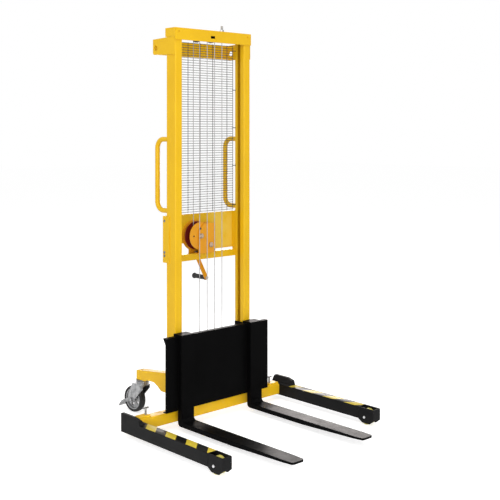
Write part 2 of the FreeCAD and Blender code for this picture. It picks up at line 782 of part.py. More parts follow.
def gear_teeth_outline(teeth, middle_x, middle_z, first):
    # involute flanks at three heights, thinned by tooth_slack
    pitch = gear_module * teeth / 2
    base = pitch * math.cos(math.radians(20))
    heights = (pitch - 1.2 * gear_module, max(base, pitch - 0.6 * gear_module), pitch,
               pitch + 0.8 * gear_module)

    def half_angle(radius):
        roll = math.sqrt(max(radius / base, 1) ** 2 - 1)
        pitch_roll = math.tan(math.radians(20))
        spread = (roll - math.atan(roll)) - (pitch_roll - math.radians(20))
        return math.pi / (2 * teeth) - tooth_slack / pitch - spread

    corners = []
    for tooth in range(teeth):
        centre = first + 2 * math.pi * tooth / teeth
        rising = [(radius, centre - half_angle(radius)) for radius in heights]
        falling = [(radius, centre + half_angle(radius)) for radius in reversed(heights)]
        corners += rising + falling
    return [(middle_x + radius * math.cos(turn), middle_z + radius * math.sin(turn))
            for radius, turn in corners]


def winch_frame():
    rear_low = winch_rear - winch_sheet
    outline = [(winch_left, shelf_top), (winch_right, shelf_top), (winch_right, shelf_top + winch_height),
               (winch_left + 35, shelf_top + winch_height), (winch_left, shelf_top + winch_height - 35)]
    front = plate_xz(outline, winch_front, winch_front + winch_sheet)
    rear = box((drum_x - winch_rear_margin, winch_right), (rear_low, winch_rear),
               (shelf_top, shelf_top + winch_height))
    guard = rod(rear_guard_radius, (drum_x, rear_low, drum_z), (drum_x, winch_rear, drum_z))
    foot = box((winch_left, winch_right), (winch_front, winch_rear), (shelf_top, shelf_top + winch_sheet))
    frame = front.fuse([rear, guard, foot]).removeSplitter()
    shaft_hole = rod(drum_shaft_radius, (drum_x, winch_front, drum_z), (drum_x, winch_rear, drum_z))
    pinion_hole = rod(pinion_shaft_radius + running_gap, (pinion_x, winch_front, pinion_z),
                      (pinion_x, winch_rear, pinion_z))
    spare_hole = rod(bolt_radius / 2, (drum_x, winch_front, drum_z + flange_radius / 2),
                     (drum_x, winch_front + winch_sheet, drum_z + flange_radius / 2))
    return frame.cut(shaft_hole).cut(pinion_hole).cut(spare_hole)


def drum_shaft():
    shaft = rod(drum_shaft_radius, (drum_x, winch_front, drum_z), (drum_x, bracket_rear, drum_z))
    nut_front = hexagon(drum_shaft_radius + 5, (drum_x, winch_front - bolt_head, drum_z),
                        (drum_x, winch_front, drum_z))
    nut_rear = hexagon(drum_shaft_radius + 5, (drum_x, bracket_rear, drum_z),
                       (drum_x, bracket_rear + bolt_head, drum_z))
    return shaft.fuse([nut_front, nut_rear]).removeSplitter()


def winch_drum():
    bore = drum_shaft_radius + running_gap
    rear = winch_rear - winch_sheet - side_gap
    outline = [(bore, drum_front - side_gap), (bore + 6, drum_front - side_gap), (bore + 6, drum_front),
               (flange_radius, drum_front), (flange_radius, drum_front + flange_sheet),
               (core_radius, drum_front + flange_sheet), (core_radius, gear_front - flange_sheet),
               (rear_flange_radius, gear_front - flange_sheet), (rear_flange_radius, gear_front),
               (bore + 8, gear_front),
               (bore + 8, rear), (bore, rear)]
    drum = turned_about(outline, (drum_x, 0, drum_z), (0, 1, 0))
    for turn in (math.pi, math.pi / 3, -math.pi / 3):
        spot = drum_point(turn, drum_front, flange_hole_ring)
        drum = drum.cut(Part.makeCylinder(flange_hole_radius, flange_sheet, spot, vector(0, 1, 0)))
    return drum


def drum_gear():
    towards_pinion = math.atan2(pinion_z - drum_z, pinion_x - drum_x)
    outline = gear_teeth_outline(gear_teeth, drum_x, drum_z, towards_pinion + math.pi / gear_teeth)
    gear = plate_xz(outline, gear_front, gear_rear)
    bore = drum_shaft_radius + running_gap + 8
    return gear.cut(rod(bore, (drum_x, gear_front, drum_z), (drum_x, gear_rear, drum_z)))


def pinion_shaft():
    towards_drum = math.atan2(drum_z - pinion_z, drum_x - pinion_x)
    shaft = rod(pinion_shaft_radius, (pinion_x, winch_front - side_gap, pinion_z),
                (pinion_x, crank_y + crank_sheet, pinion_z))
    pinion = plate_xz(gear_teeth_outline(pinion_teeth, pinion_x, pinion_z, towards_drum),
                      gear_front + side_gap, gear_rear)
    collar = hexagon(pinion_shaft_radius + 5, (pinion_x, winch_front - side_gap - bolt_head, pinion_z),
                     (pinion_x, winch_front - side_gap, pinion_z))
    return shaft.fuse([pinion, collar]).removeSplitter()


def ratchet_wheel():
    corners = []
    for tooth in range(ratchet_teeth):
        turn = 2 * math.pi * tooth / ratchet_teeth
        corners += [(ratchet_radius, turn), (ratchet_radius - 4.5, turn + 0.04)]
    outline = [(pinion_x + r * math.cos(t), pinion_z + r * math.sin(t)) for r, t in corners]
    wheel = plate_xz(outline, ratchet_front, ratchet_front + ratchet_width)
    return wheel.cut(rod(pinion_shaft_radius, (pinion_x, ratchet_front, pinion_z),
                         (pinion_x, ratchet_front + ratchet_width, pinion_z)))


def ratchet_pawl():
    rear = ratchet_front + ratchet_width
    low = pinion_z + ratchet_radius + slide_gap
    lever = plate_xz([(pinion_x - 4, low), (pawl_x, low), (pawl_x, low + pawl_height),
                      (pinion_x + 4, low + pawl_height)],
                     ratchet_front, rear)
    boss = rod(pawl_height, (pawl_x, ratchet_front, pawl_z), (pawl_x, rear, pawl_z))
    hole = rod(pawl_pin_radius + running_gap, (pawl_x, ratchet_front, pawl_z), (pawl_x, rear, pawl_z))
    return lever.fuse(boss).cut(hole).removeSplitter()


def crank_arm():
    hub = rod(crank_hub_radius, (pinion_x, crank_y - 6, pinion_z),
              (pinion_x, crank_y + crank_sheet, pinion_z))
    hub = hub.cut(rod(pinion_shaft_radius, (pinion_x, crank_y - 6, pinion_z),
                      (pinion_x, crank_y + crank_sheet, pinion_z)))
    flat = box((0, crank_length), (crank_y, crank_y + crank_sheet), (-crank_width / 2, crank_width / 2))
    flat = flat.fuse(rod(crank_width / 2, (crank_length, crank_y, 0),
                         (crank_length, crank_y + crank_sheet, 0)))
    flat.rotate(vector(0, 0, 0), vector(0, 1, 0), -crank_angle)
    flat.translate(vector(pinion_x, 0, pinion_z))
    flat = flat.cut(rod(pinion_shaft_radius, (pinion_x, crank_y, pinion_z),
                        (pinion_x, crank_y + crank_sheet, pinion_z)))
    pin_rear = crank_y + crank_sheet + side_gap + grip_length
    pin = rod(grip_pin_radius, (crank_end_x, crank_y, crank_end_z), (crank_end_x, pin_rear, crank_end_z))
    nut = hexagon(grip_pin_radius + 4, (crank_end_x, crank_y - bolt_head, crank_end_z),
                  (crank_end_x, crank_y, crank_end_z))
    pin_head = rod(grip_pin_radius + 3, (crank_end_x, pin_rear + slide_gap, crank_end_z),
                   (crank_end_x, pin_rear + slide_gap + 3, crank_end_z))
    neck = rod(grip_pin_radius, (crank_end_x, pin_rear, crank_end_z),
               (crank_end_x, pin_rear + slide_gap, crank_end_z))
    pin = pin.fuse([nut, neck, pin_head]).removeSplitter()
    return group([hub.fuse(flat).removeSplitter().cut(pin), pin])


def crank_grip():
    bore = grip_pin_radius + running_gap
    body = grip_length - 20
    outline = [(bore, 0), (grip_radius + 1.5, 0), (grip_radius + 1.5, 4), (grip_radius, 9),
               (grip_radius, body),
               (grip_knob_radius, body + 7), (grip_knob_radius, grip_length - 5),
               (grip_knob_radius - 4, grip_length),
               (bore, grip_length)]
    return turned_about(outline, (crank_end_x, crank_y + crank_sheet + side_gap, crank_end_z), (0, 1, 0))


def carriage_plate():
    half = carriage_width / 2
    rear = -carriage_rear
    flange_end = carriage_flange - carriage_front
    face = box((-half, half), (-carriage_front, rear), (carriage_bottom, carriage_top))
    upper = box((-half, half), (rear, flange_end), (carriage_top - sheet, carriage_top))
    lower = box((-half, half), (rear, flange_end), (carriage_bottom, carriage_bottom + sheet))
    gusset = plate_yz([(rear, carriage_top - sheet), (flange_end, carriage_top - sheet),
                       (rear, carriage_top - carriage_gusset)], -half, -half + sheet)
    return face.fuse([upper, lower, gusset, mirrored(gusset)]).removeSplitter()


def carriage_cheeks():
    shoulder = cheek_high - cheek_shoulder_drop
    step = sheet - half_depth
    outline = [(-carriage_rear, cheek_low), (cheek_rear, cheek_low), (cheek_rear, cheek_high),
               (step, cheek_high), (step, shoulder), (-carriage_rear, shoulder)]
    cheek = plate_yz(outline, -cheek_outer, cheek_sheet - cheek_outer)
    window = plate_yz([(-carriage_rear + 16, roller_low + 45), (-8, roller_low + 45), (-8, roller_high - 45),
                       (-carriage_rear + 16, roller_high - 45)], -cheek_outer, cheek_sheet - cheek_outer)
    cheek = cheek.cut(rounded_along(window, vector(1, 0, 0), 10))
    for z in (roller_low, roller_high):
        cheek = cheek.cut(rod(roller_pin_radius, (-cheek_outer, 0, z), (cheek_sheet - cheek_outer, 0, z)))
    return group([cheek, mirrored(cheek)])


def roller_pins():
    pins = []
    for z in (roller_low, roller_high):
        pin = rod(roller_pin_radius, (-post_x - mast_roller_width / 2 - 1, 0, z),
                  (cheek_sheet - cheek_outer, 0, z))
        nut = hexagon(roller_pin_radius + 6, (cheek_sheet - cheek_outer, 0, z),
                      (cheek_sheet - cheek_outer + bolt_head, 0, z))
        pin = pin.fuse(nut).removeSplitter()
        pins += [pin, mirrored(pin)]
    return group(pins)


def mast_roller(z):
    half = mast_roller_width / 2
    bore = roller_pin_radius + running_gap
    outline = [(bore, -half), (mast_roller_radius - 1.5, -half), (mast_roller_radius, 1.5 - half),
               (mast_roller_radius, half - 1.5), (mast_roller_radius - 1.5, half), (bore, half)]
    return turned_about(outline, (-post_x, 0, z), (1, 0, 0))


def sheave_pins():
    pins = []
    near = rope_y - sheave_width / 2 - side_gap
    far = rope_y + sheave_width / 2 + side_gap
    for x in carriage_sheave_x:
        sleeve = rod(sheave_pin_radius + 6, (x, -carriage_rear, carriage_sheave_z),
                     (x, near, carriage_sheave_z))
        pin = rod(sheave_pin_radius, (x, near, carriage_sheave_z), (x, far, carriage_sheave_z))
        head = rod(sheave_pin_radius + 4, (x, far, carriage_sheave_z), (x, far + 3, carriage_sheave_z))
        pins.append(sleeve.fuse([pin, head]).removeSplitter())
    return group(pins)


def fork():
    shank_top = carriage_top + slide_gap + fork_hook
    lip_front = carriage_flange - carriage_front + slide_gap
    blade_top = fork_bottom + fork_heel_thickness
    outline = [(-fork_rear, fork_bottom), (-fork_rear, carriage_top + slide_gap),
               (lip_front, carriage_top + slide_gap),
               (lip_front, carriage_top - fork_hook_drop),
               (lip_front + fork_hook_lip, carriage_top - fork_hook_drop),
               (lip_front + fork_hook_lip, shank_top), (-fork_front, shank_top), (-fork_front, blade_top),
               (-fork_tip, blade_top), (-fork_tip, blade_top - fork_tip_thickness),
               (-0.55 * fork_tip, fork_bottom)]
    left = -fork_x - fork_width / 2
    right = -fork_x + fork_width / 2
    solid = plate_yz(outline, left, right)
    heel = [edge for edge in edges_along(solid, vector(1, 0, 0))
            if edge.CenterOfMass.y > -fork_front - 1 and edge.CenterOfMass.z < blade_top + 1
            and (edge.CenterOfMass.z < fork_bottom + 1 or edge.CenterOfMass.y < 1 - fork_front)]
    solid = solid.makeFillet(fork_heel_radius, heel)
    tip_back = fork_tip_length - fork_tip
    wedge = plate_xy([(left, -fork_tip), (left + fork_tip_taper, -fork_tip), (left, tip_back)],
                     fork_bottom, blade_top)
    other = plate_xy([(right, -fork_tip), (right - fork_tip_taper, -fork_tip), (right, tip_back)],
                     fork_bottom, blade_top)
    solid = solid.cut(wedge).cut(other)
    corners = [edge for edge in edges_along(solid, vector(0, 0, 1)) if edge.CenterOfMass.y < 1 - fork_tip]
    return solid.makeFillet(3 * fork_tip_taper, corners)


def frame_bolts():
    bolts = []
    outer = half_mast + sheet
    for z in (bracket_high - 24, bracket_side_low + 52, bracket_side_low + 35):
        bolt = hexagon(side_bolt_radius, (-outer - side_bolt_head, side_bolt_y, z), (-outer, side_bolt_y, z))
        bolts += [bolt, mirrored(bolt)]
    foot = shelf_top + winch_sheet
    for x in (drum_x + 4, winch_right - 16):
        bolts.append(hexagon(bolt_radius, (x, winch_rear - 3 * winch_sheet, foot),
                             (x, winch_rear - 3 * winch_sheet, foot + bolt_head)))
    pin = rod(pawl_pin_radius, (pawl_x, bracket_rear - sheet, pawl_z),
              (pawl_x, ratchet_front + ratchet_width + slide_gap, pawl_z))
    pin_head = rod(pawl_pin_radius + 4, (pawl_x, ratchet_front + ratchet_width + slide_gap, pawl_z),
                   (pawl_x, ratchet_front + ratchet_width + slide_gap + 3, pawl_z))
    collar = rod(pawl_pin_radius + 4, (pawl_x, bracket_rear, pawl_z),
                 (pawl_x, ratchet_front - slide_gap, pawl_z))
    bolts.append(pin.fuse([pin_head, collar]).removeSplitter())
    return group(bolts)


nodes = {
    "base_crossbeam": base_beam(),
    "top_crosshead": crosshead(),
    "upper_rear_bracket": upper_bracket(),
    "winch_bracket": winch_bracket(),
    "winch_shelf": winch_shelf(),
    "mesh_guard": mesh_guard(),
    "guard_hooks": guard_hooks(),
    "sheave_hangers": sheave_hangers(),
    "rope_anchor": rope_anchor(),
    "rope_lead": rope_lead(),
    "rope_falls": rope_falls(),
    "rope_carriage_loops": rope_loops(),
    "lead_sheave": sheave((first_fall_x, lead_sheave_y, top_sheave_z), (1, 0, 0)),
    "return_sheave": sheave((return_sheave_x, rope_y, top_sheave_z), (0, 1, 0)),
    "winch_frame": winch_frame(),
    "drum_shaft": drum_shaft(),
    "winch_drum": winch_drum(),
    "drum_gear": drum_gear(),
    "pinion_shaft": pinion_shaft(),
    "ratchet_wheel": ratchet_wheel(),
    "ratchet_pawl": ratchet_pawl(),
    "crank_arm": crank_arm(),
    "crank_grip": crank_grip(),
    "carriage_plate": carriage_plate(),
    "carriage_cheeks": carriage_cheeks(),
    "roller_pins": roller_pins(),
    "sheave_pins": sheave_pins(),
    "frame_bolts": frame_bolts(),
}
turns = wound_rope(0, drum_front + flange_sheet + rope_radius + slide_gap, drum_half_turns, rope_pitch / 2)
nodes["rope_turns"] = rope_solid(turns)
print("least gap between rope turns", round(least_gap(turns), 3))

for name, x in zip(("carriage_sheave_left", "carriage_sheave_right"), carriage_sheave_x):
    nodes[name] = sheave((x, rope_y, carriage_sheave_z), (0, 1, 0))

paired = {
    "mast_post": post(),
    "caster_arm": caster_arm(),
    "push_handle": push_handle(),
    "lock_screw": lock_screw(),
    "leg": leg(),
    "leg_roller": leg_roller(),
    "caster_fork": caster_fork(),
    "caster_tyre": caster_tyre(),
    "caster_hub": caster_hub(),
    "brake_pedal": brake_pedal(),
    "upper_mast_roller": mast_roller(roller_high),
    "lower_mast_roller": mast_roller(roller_low),
    "fork": fork(),
}
for name, shape in paired.items():
    nodes["left_" + name] = shape
    nodes["right_" + name] = mirrored(shape)
mount = caster_mount()
nodes["caster_mounts"] = group([mount, mirrored(mount)])

# The origin goes to the middle of the floor space that the whole object covers
reach = Part.makeCompound(list(nodes.values())).optimalBoundingBox(False)
to_middle = vector(0, -(reach.YMin + reach.YMax) / 2, 0)
os.makedirs("parts", exist_ok=True)
for name, shape in nodes.items():
    shape.translated(to_middle).exportStep("parts/" + name + ".step")

print("nodes", len(nodes), "moved by", round(to_middle.y, 6))
print("box", [round(value, 2) for value in (reach.XMin, reach.XMax, reach.YMin, reach.YMax, reach.ZMin,
                                            reach.ZMax)])
print("drum", drum_x, drum_z, "pinion", pinion_x, round(pinion_z, 3), "rope turn radius", rope_turn_radius)
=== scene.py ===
import math

import bmesh
import bpy
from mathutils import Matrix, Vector


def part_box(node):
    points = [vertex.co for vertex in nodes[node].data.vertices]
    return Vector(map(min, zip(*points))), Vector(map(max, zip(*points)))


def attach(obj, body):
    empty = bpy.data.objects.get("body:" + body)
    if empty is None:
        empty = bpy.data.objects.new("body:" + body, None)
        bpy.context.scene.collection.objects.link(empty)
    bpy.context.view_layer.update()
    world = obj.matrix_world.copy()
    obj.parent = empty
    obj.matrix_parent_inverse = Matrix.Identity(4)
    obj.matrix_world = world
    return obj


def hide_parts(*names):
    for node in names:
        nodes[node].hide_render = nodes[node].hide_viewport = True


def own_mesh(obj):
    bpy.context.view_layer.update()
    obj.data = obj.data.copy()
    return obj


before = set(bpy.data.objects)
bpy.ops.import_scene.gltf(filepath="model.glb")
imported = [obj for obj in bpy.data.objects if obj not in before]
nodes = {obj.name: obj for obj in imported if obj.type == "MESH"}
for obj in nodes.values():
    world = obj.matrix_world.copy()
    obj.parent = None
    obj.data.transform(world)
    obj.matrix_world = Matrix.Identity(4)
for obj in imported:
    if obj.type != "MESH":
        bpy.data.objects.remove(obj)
bpy.ops.object.select_all(action="DESELECT")
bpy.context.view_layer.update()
postLow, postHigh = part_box("left_mast_post")
mastY = (postLow.y + postHigh.y) / 2  # middle of the mast, front to back
print("frame loaded with", len(nodes), "nodes, mast at y", round(mastY, 4))


class Signal:
    # a socket of a shader tree that can stand in a sum
    def __init__(self, owner, socket):
        self.owner = owner
        self.socket = socket

    def calc(self, operation, first, second=0.0):
        return self.owner.add("ShaderNodeMath", {"operation": operation}, {0: first, 1: second})

    def __add__(self, other):
        return self.calc("ADD", self, other)

    def __radd__(self, other):
        return self.calc("ADD", other, self)

    def __sub__(self, other):
        return self.calc("SUBTRACT", self, other)

    def __rsub__(self, other):
        return self.calc("SUBTRACT", other, self)

    def __mul__(self, other):
        return self.calc("MULTIPLY", self, other)

    def __rmul__(self, other):
        return self.calc("MULTIPLY", other, self)

    def __truediv__(self, other):
        return self.calc("DIVIDE", self, other)

    def __mod__(self, other):
        return self.calc("FLOORED_MODULO", self, other)

    def __gt__(self, other):
        return self.calc("GREATER_THAN", self, other)

    def __lt__(self, other):
        return self.calc("LESS_THAN", self, other)

    def __abs__(self):
        return self.calc("ABSOLUTE", self)


class ShaderTree:
    # adds nodes to one tree: a node's settings come first, then its sockets are filled or linked
    def __init__(self, tree):
        self.tree = tree

    def add(self, kind, settings=None, sockets=None, output=0):
        node = self.tree.nodes.new(kind)
        for key, value in (settings or {}).items():
            setattr(node, key, value)
        for key, value in (sockets or {}).items():
            self.feed(node.inputs[key], value)
        return Signal(self, node.outputs[output])

    def feed(self, socket, value):
        if isinstance(value, Signal):
            self.tree.links.new(value.socket, socket)
        elif hasattr(value, "__len__") and len(value) == 3 and socket.type == "RGBA":
            socket.default_value = (*value, 1.0)
        else:
            socket.default_value = value

    def fade(self, value, low, high, start=0.0, end=1.0):
        return self.add("ShaderNodeMapRange", {"interpolation_type": "SMOOTHSTEP"},
                        {"Value": value, "From Min": low, "From Max": high, "To Min": start, "To Max": end})

    def shown(self):
        # 1 on rays that see the backdrop, straight on or in a reflection
        straight, glossy, through = (self.add("ShaderNodeLightPath", output=k)
                                     for k in ("Is Camera Ray", "Is Glossy Ray", "Is Transmission Ray"))
        return straight + glossy + through


class Finish(ShaderTree):
    # one procedural material, read from Object coordinates in metres
    def __init__(self, name):
        self.material = bpy.data.materials.new(name)
        self.material.use_nodes = True
        super().__init__(self.material.node_tree)
        self.shader = self.tree.nodes["Principled BSDF"]
        self.place = self.add("ShaderNodeTexCoord", output="Object")
        self.x, self.y, self.z = (self.add("ShaderNodeSeparateXYZ", sockets={0: self.place}, output=k)
                                  for k in ("X", "Y", "Z"))

    def set(self, **values):
        for key, value in values.items():
            self.feed(self.shader.inputs[key.replace("_", " ")], value)

    def now(self, name):
        # what feeds a socket of the shader so far
        return Signal(self, self.shader.inputs[name].links[0].from_socket)

    def noise(self, scale, detail, rough, stretch=None):
        where = self.place
        if stretch:
            where = self.add("ShaderNodeMapping", sockets={"Vector": where, "Scale": stretch})
        return self.add("ShaderNodeTexNoise", {"noise_dimensions": "3D"},
                        {"Vector": where, "Scale": scale, "Detail": detail, "Roughness": rough})

    def patches(self, scale, detail, rough, low, high):
        # noise that fades in from low to high
        return self.fade(self.noise(scale, detail, rough), low, high)

    def spots(self, scale):
        return self.add("ShaderNodeTexVoronoi", {"feature": "F1"}, {"Vector": self.place, "Scale": scale})

    def tint(self, share, first, second):
        # 0 is the factor, 6 and 7 are the two colours
        return self.add("ShaderNodeMix", {"data_type": "RGBA", "blend_type": "MIX"},
                        {0: share, 6: first, 7: second}, output=2)

    def reach(self, offsets):
        # length of the vector that the offsets make
        line = self.add("ShaderNodeCombineXYZ", sockets=offsets)
        return self.add("ShaderNodeVectorMath", {"operation": "LENGTH"}, {0: line}, output="Value")

    def rounded(self, radius):
        return self.add("ShaderNodeBevel", {"samples": 4}, {"Radius": radius})

    def edges(self, softNormal):
        # 0 on flat faces, towards 1 where two faces meet
        flat = self.add("ShaderNodeNewGeometry", output="Normal")
        return 1 - self.add("ShaderNodeVectorMath", {"operation": "DOT_PRODUCT"},
                            {0: softNormal, 1: flat}, output="Value")

    def relief(self, height, strength, depth, normal=None):
        sockets = {"Height": height, "Strength": strength, "Distance": depth}
        if normal:
            sockets["Normal"] = normal
        self.set(Normal=self.add("ShaderNodeBump", sockets=sockets))


# Painted steel: orange peel, slow drift of tone, dust near the floor, chips along the edges
yellowPaint = {"colour": (0.78, 0.47, 0.010), "drift": (0.72, 0.415, 0.007), "bare": (0.26, 0.17, 0.08),
               "dust": (0.56, 0.38, 0.10), "rough": 0.36, "coat": 0.17, "specular": 0.11, "wear": 0.5, "peel": 0.16}
orangePaint = {"colour": (0.76, 0.335, 0.012), "drift": (0.68, 0.275, 0.009), "bare": (0.26, 0.15, 0.08),
               "dust": (0.54, 0.30, 0.08), "rough": 0.34, "coat": 0.22, "specular": 0.14, "wear": 0.6, "peel": 0.14}
carriagePaint = {"colour": (0.0015, 0.0015, 0.0016), "drift": (0.0028, 0.0028, 0.0030), "bare": (0.045, 0.045, 0.046),
                 "dust": (0.008, 0.008, 0.0077), "rough": 0.44, "coat": 0.0, "specular": 0.019, "wear": 0.7,
                 "peel": 0.3}
legPaint = {"colour": (0.0060, 0.0060, 0.0064), "drift": (0.0095, 0.0095, 0.0100), "bare": (0.08, 0.08, 0.083),
            "dust": (0.022, 0.021, 0.020), "rough": 0.48, "coat": 0.0, "specular": 0.075, "wear": 0.6, "peel": 0.35}

# A noise is (scale, detail, roughness) and may have a stretch, and patches add where they start and where they are full
paintGrain = {"rounding": 0.0014, "edge": (0.04, 0.30), "chips": (70.0, 5.0, 0.65, 0.55, 0.63),
              "clouds": (4.0, 4.0, 0.55, 0.32, 0.70), "cloudShare": 0.55,
              "streaks": (9.0, 3.0, 0.5, (1.0, 1.0, 0.10)), "streakShare": 0.25,
              "dust": (30.0, 6.0, 0.62, 0.42, 0.72), "dustHeight": (0.04, 0.34), "dustShare": 0.18,
              "haze": (26.0, 4.0, 0.6), "hazeRough": 0.16, "dustRough": 0.14, "chipRough": 0.1,
              "coatRough": 0.16, "dustCoat": 0.2, "chipCoat": 0.3, "finePeel": (520.0, 2.0, 0.5),
              "broadPeel": (160.0, 2.0, 0.5), "broadShare": 0.8, "chipDepth": 0.8, "peelDepth": 0.00016}


def paintedSteel(name, look):
    grain = paintGrain
    finish = Finish(name)
    soft = finish.rounded(grain["rounding"])
    edge = finish.fade(finish.edges(soft), *grain["edge"])
    chips = edge * finish.patches(*grain["chips"]) * look["wear"]
    cloud = finish.patches(*grain["clouds"])
    streak = finish.noise(*grain["streaks"])
    dust = finish.fade(finish.z, *grain["dustHeight"], start=1.0, end=0.0) * finish.patches(*grain["dust"])
    colour = finish.tint(cloud * grain["cloudShare"] + streak * grain["streakShare"], look["colour"], look["drift"])
    colour = finish.tint(dust * grain["dustShare"], colour, look["dust"])
    colour = finish.tint(chips, colour, look["bare"])
    haze = (finish.noise(*grain["haze"]) - 0.5) * grain["hazeRough"]
    finish.set(Base_Color=colour,
               Roughness=look["rough"] + haze + dust * grain["dustRough"] + chips * grain["chipRough"],
               Coat_Roughness=grain["coatRough"], Specular_IOR_Level=look["specular"])
    if look["coat"]:
        finish.set(Coat_Weight=look["coat"] - dust * grain["dustCoat"] - chips * grain["chipCoat"])
    peel = finish.noise(*grain["finePeel"]) + finish.noise(*grain["broadPeel"]) * grain["broadShare"]
    finish.relief(peel - chips * grain["chipDepth"], look["peel"], grain["peelDepth"], soft)
    return finish


# Bare metals: dull patches, grime, brightened edges, fine brushing
boltSteel = {"colour": (0.40, 0.395, 0.39), "dull": (0.22, 0.215, 0.21), "rough": 0.34, "edge": (0.56, 0.56, 0.56),
             "scale": 60.0}
zincPlate = {"colour": (0.36, 0.365, 0.37), "dull": (0.17, 0.173, 0.178), "rough": 0.30, "edge": (0.58, 0.58, 0.59),
             "scale": 40.0}
screwZinc = {**zincPlate, "scale": 60.0}
darkSteel = {"colour": (0.20, 0.20, 0.205), "dull": (0.10, 0.10, 0.105), "rough": 0.36, "edge": (0.40, 0.40, 0.41),
             "scale": 60.0}
oiledSteel = {"colour": (0.52, 0.40, 0.29), "dull": (0.27, 0.19, 0.12), "rough": 0.42, "edge": (0.60, 0.50, 0.40),
              "scale": 60.0}
metalGrain = {"rounding": 0.0007, "edge": (0.04, 0.30), "edgeShare": 0.5, "dull": (5.0, 0.6, 0.35, 0.68),
              "dullRough": 0.14, "grime": (4.0, 0.55, 0.5, 0.8), "grimeScale": 0.3, "grimeShare": 0.35,
              "grimeColour": (0.16, 0.14, 0.12), "grimeMetal": 0.25, "grimeRough": 0.12,
              "brush": (900.0, 2.0, 0.5, (1.0, 1.0, 0.12)), "brushShare": 0.6, "pits": (340.0, 2.0, 0.5),
              "relief": (0.10, 0.0001)}


def bareMetal(name, look):
    grain = metalGrain
    finish = Finish(name)
    soft = finish.rounded(grain["rounding"])
    edge = finish.fade(finish.edges(soft), *grain["edge"])
    dull = finish.patches(look["scale"], *grain["dull"])
    grime = finish.patches(look["scale"] * grain["grimeScale"], *grain["grime"])
    colour = finish.tint(dull, look["colour"], look["dull"])
    colour = finish.tint(grime * grain["grimeShare"], colour, grain["grimeColour"])
    colour = finish.tint(edge * grain["edgeShare"], colour, look["edge"])
    finish.set(Base_Color=colour, Metallic=1.0 - grime * grain["grimeMetal"],
               Roughness=look["rough"] + dull * grain["dullRough"] + grime * grain["grimeRough"])
    brush = finish.noise(*grain["brush"]) * grain["brushShare"] + finish.noise(*grain["pits"])
    finish.relief(brush, *grain["relief"], soft)
    return finish


# Fine threads on the upright stems, from a height upwards
anchorThread = {"pitch": 0.00175, "from": 1.991, "strength": 0.8}
screwThread = {"pitch": 0.0015, "from": 0.0, "strength": 0.8}


def threadedSteel(name, look, thread):
    finish = bareMetal(name, look)
    half = thread["pitch"] / 2
    turn = finish.add("ShaderNodeMath", {"operation": "PINGPONG"}, {0: finish.z, 1: half}) / half
    cut = finish.fade(finish.z, thread["from"], thread["from"] + thread["pitch"])
    finish.relief(turn * cut, thread["strength"], half)
    return finish


steel = bareMetal("boltSteel", boltSteel)
zinc = bareMetal("zincPlate", zincPlate)
dark = bareMetal("darkSteel", darkSteel)
oiled = bareMetal("oiledSteel", oiledSteel)
yellow = paintedSteel("yellowPaint", yellowPaint)
orange = paintedSteel("orangePaint", orangePaint)
black = paintedSteel("carriagePaint", carriagePaint)

# Forks: the carriage paint, polished on top of the blades by sliding loads
forkRub = {"gloss": 0.25, "rough": 0.26, "facing": (0.6, 0.95), "bladeTop": 0.2, "full": mastY - 0.34,
           "heel": mastY - 0.14, "scuffs": (18.0, 5.0, 0.6, (1.0, 0.25, 1.0)), "scuffBand": (0.25, 0.7, 0.55, 1.0)}


def forkFinish():
    finish = paintedSteel("forkPaint", carriagePaint)
    facing = finish.add("ShaderNodeNewGeometry", output="Normal")
    up = finish.fade(finish.add("ShaderNodeSeparateXYZ", sockets={0: facing}, output="Z"), *forkRub["facing"])
    scuff = finish.fade(finish.noise(*forkRub["scuffs"]), *forkRub["scuffBand"])
    along = finish.fade(finish.y, forkRub["full"], forkRub["heel"], start=1.0, end=0.0)
    blade = (finish.z < forkRub["bladeTop"]) * along
    finish.set(Coat_Weight=up * scuff * blade * forkRub["gloss"], Coat_Roughness=forkRub["rough"])
    return finish


forkPaint = forkFinish()

# Legs: paint, with the bright axle ends and the bare slide bar told apart by their place
legZone = {"axleY": mastY - 0.640, "axleZ": 0.038, "axleRadius": 0.0061, "barInside": 0.4688,
           "barFront": mastY - 0.06, "axle": (0.66, 0.66, 0.67), "bar": (0.22, 0.22, 0.23), "metal": 0.95,
           "smoother": 0.14}


def legFinish():
    finish = paintedSteel("legPaint", legPaint)
    away = finish.reach({"Y": finish.y - legZone["axleY"], "Z": finish.z - legZone["axleZ"]})
    axle = away < legZone["axleRadius"]
    bar = (abs(finish.x) < legZone["barInside"]) * (finish.y > legZone["barFront"])
    metal = axle.calc("MAXIMUM", axle, bar)
    shine = finish.tint(bar, legZone["axle"], legZone["bar"])
    finish.set(Base_Color=finish.tint(metal, finish.now("Base Color"), shine), Metallic=metal * legZone["metal"],
               Roughness=finish.now("Roughness") - metal * legZone["smoother"])
    return finish


legs = legFinish()

# Bracket behind the winch: the open part of its back plate is painted paler towards its end, a painted lit patch
bracketLitPatch = {"across": (0.015, 0.085), "end": 0.2035, "front": mastY + 0.0545, "paintedLight": (0.80, 0.56, 0.085),
               "share": 0.75, "clouds": (14.0, 5.0, 0.6, 0.2, 0.6)}


def bracketFinish():
    finish = paintedSteel("bracketPaint", yellowPaint)
    plate = (finish.y > bracketLitPatch["front"]) * (finish.x < bracketLitPatch["end"])
    # painted light: the back plate is tinted paler across x, in cloudy patches, where it shows lit
    litPatch = finish.fade(finish.x, *bracketLitPatch["across"]) * finish.patches(*bracketLitPatch["clouds"])
    share = plate * litPatch * bracketLitPatch["share"]
    finish.set(Base_Color=finish.tint(share, finish.now("Base Color"), bracketLitPatch["paintedLight"]))
    return finish


bracketPaint = bracketFinish()

# Winch drum: painted flanges, its own red paint between them darkened by painted shade where the rope lies, and the
# rear flange a darker orange that is partly painted shade
drumToneAndShade = {"front": mastY + 0.0066, "rear": mastY + 0.0404, "inside": (0.15, 0.012, 0.009),
            "rearFlangeAndShade": (0.58, 0.20, 0.022)}


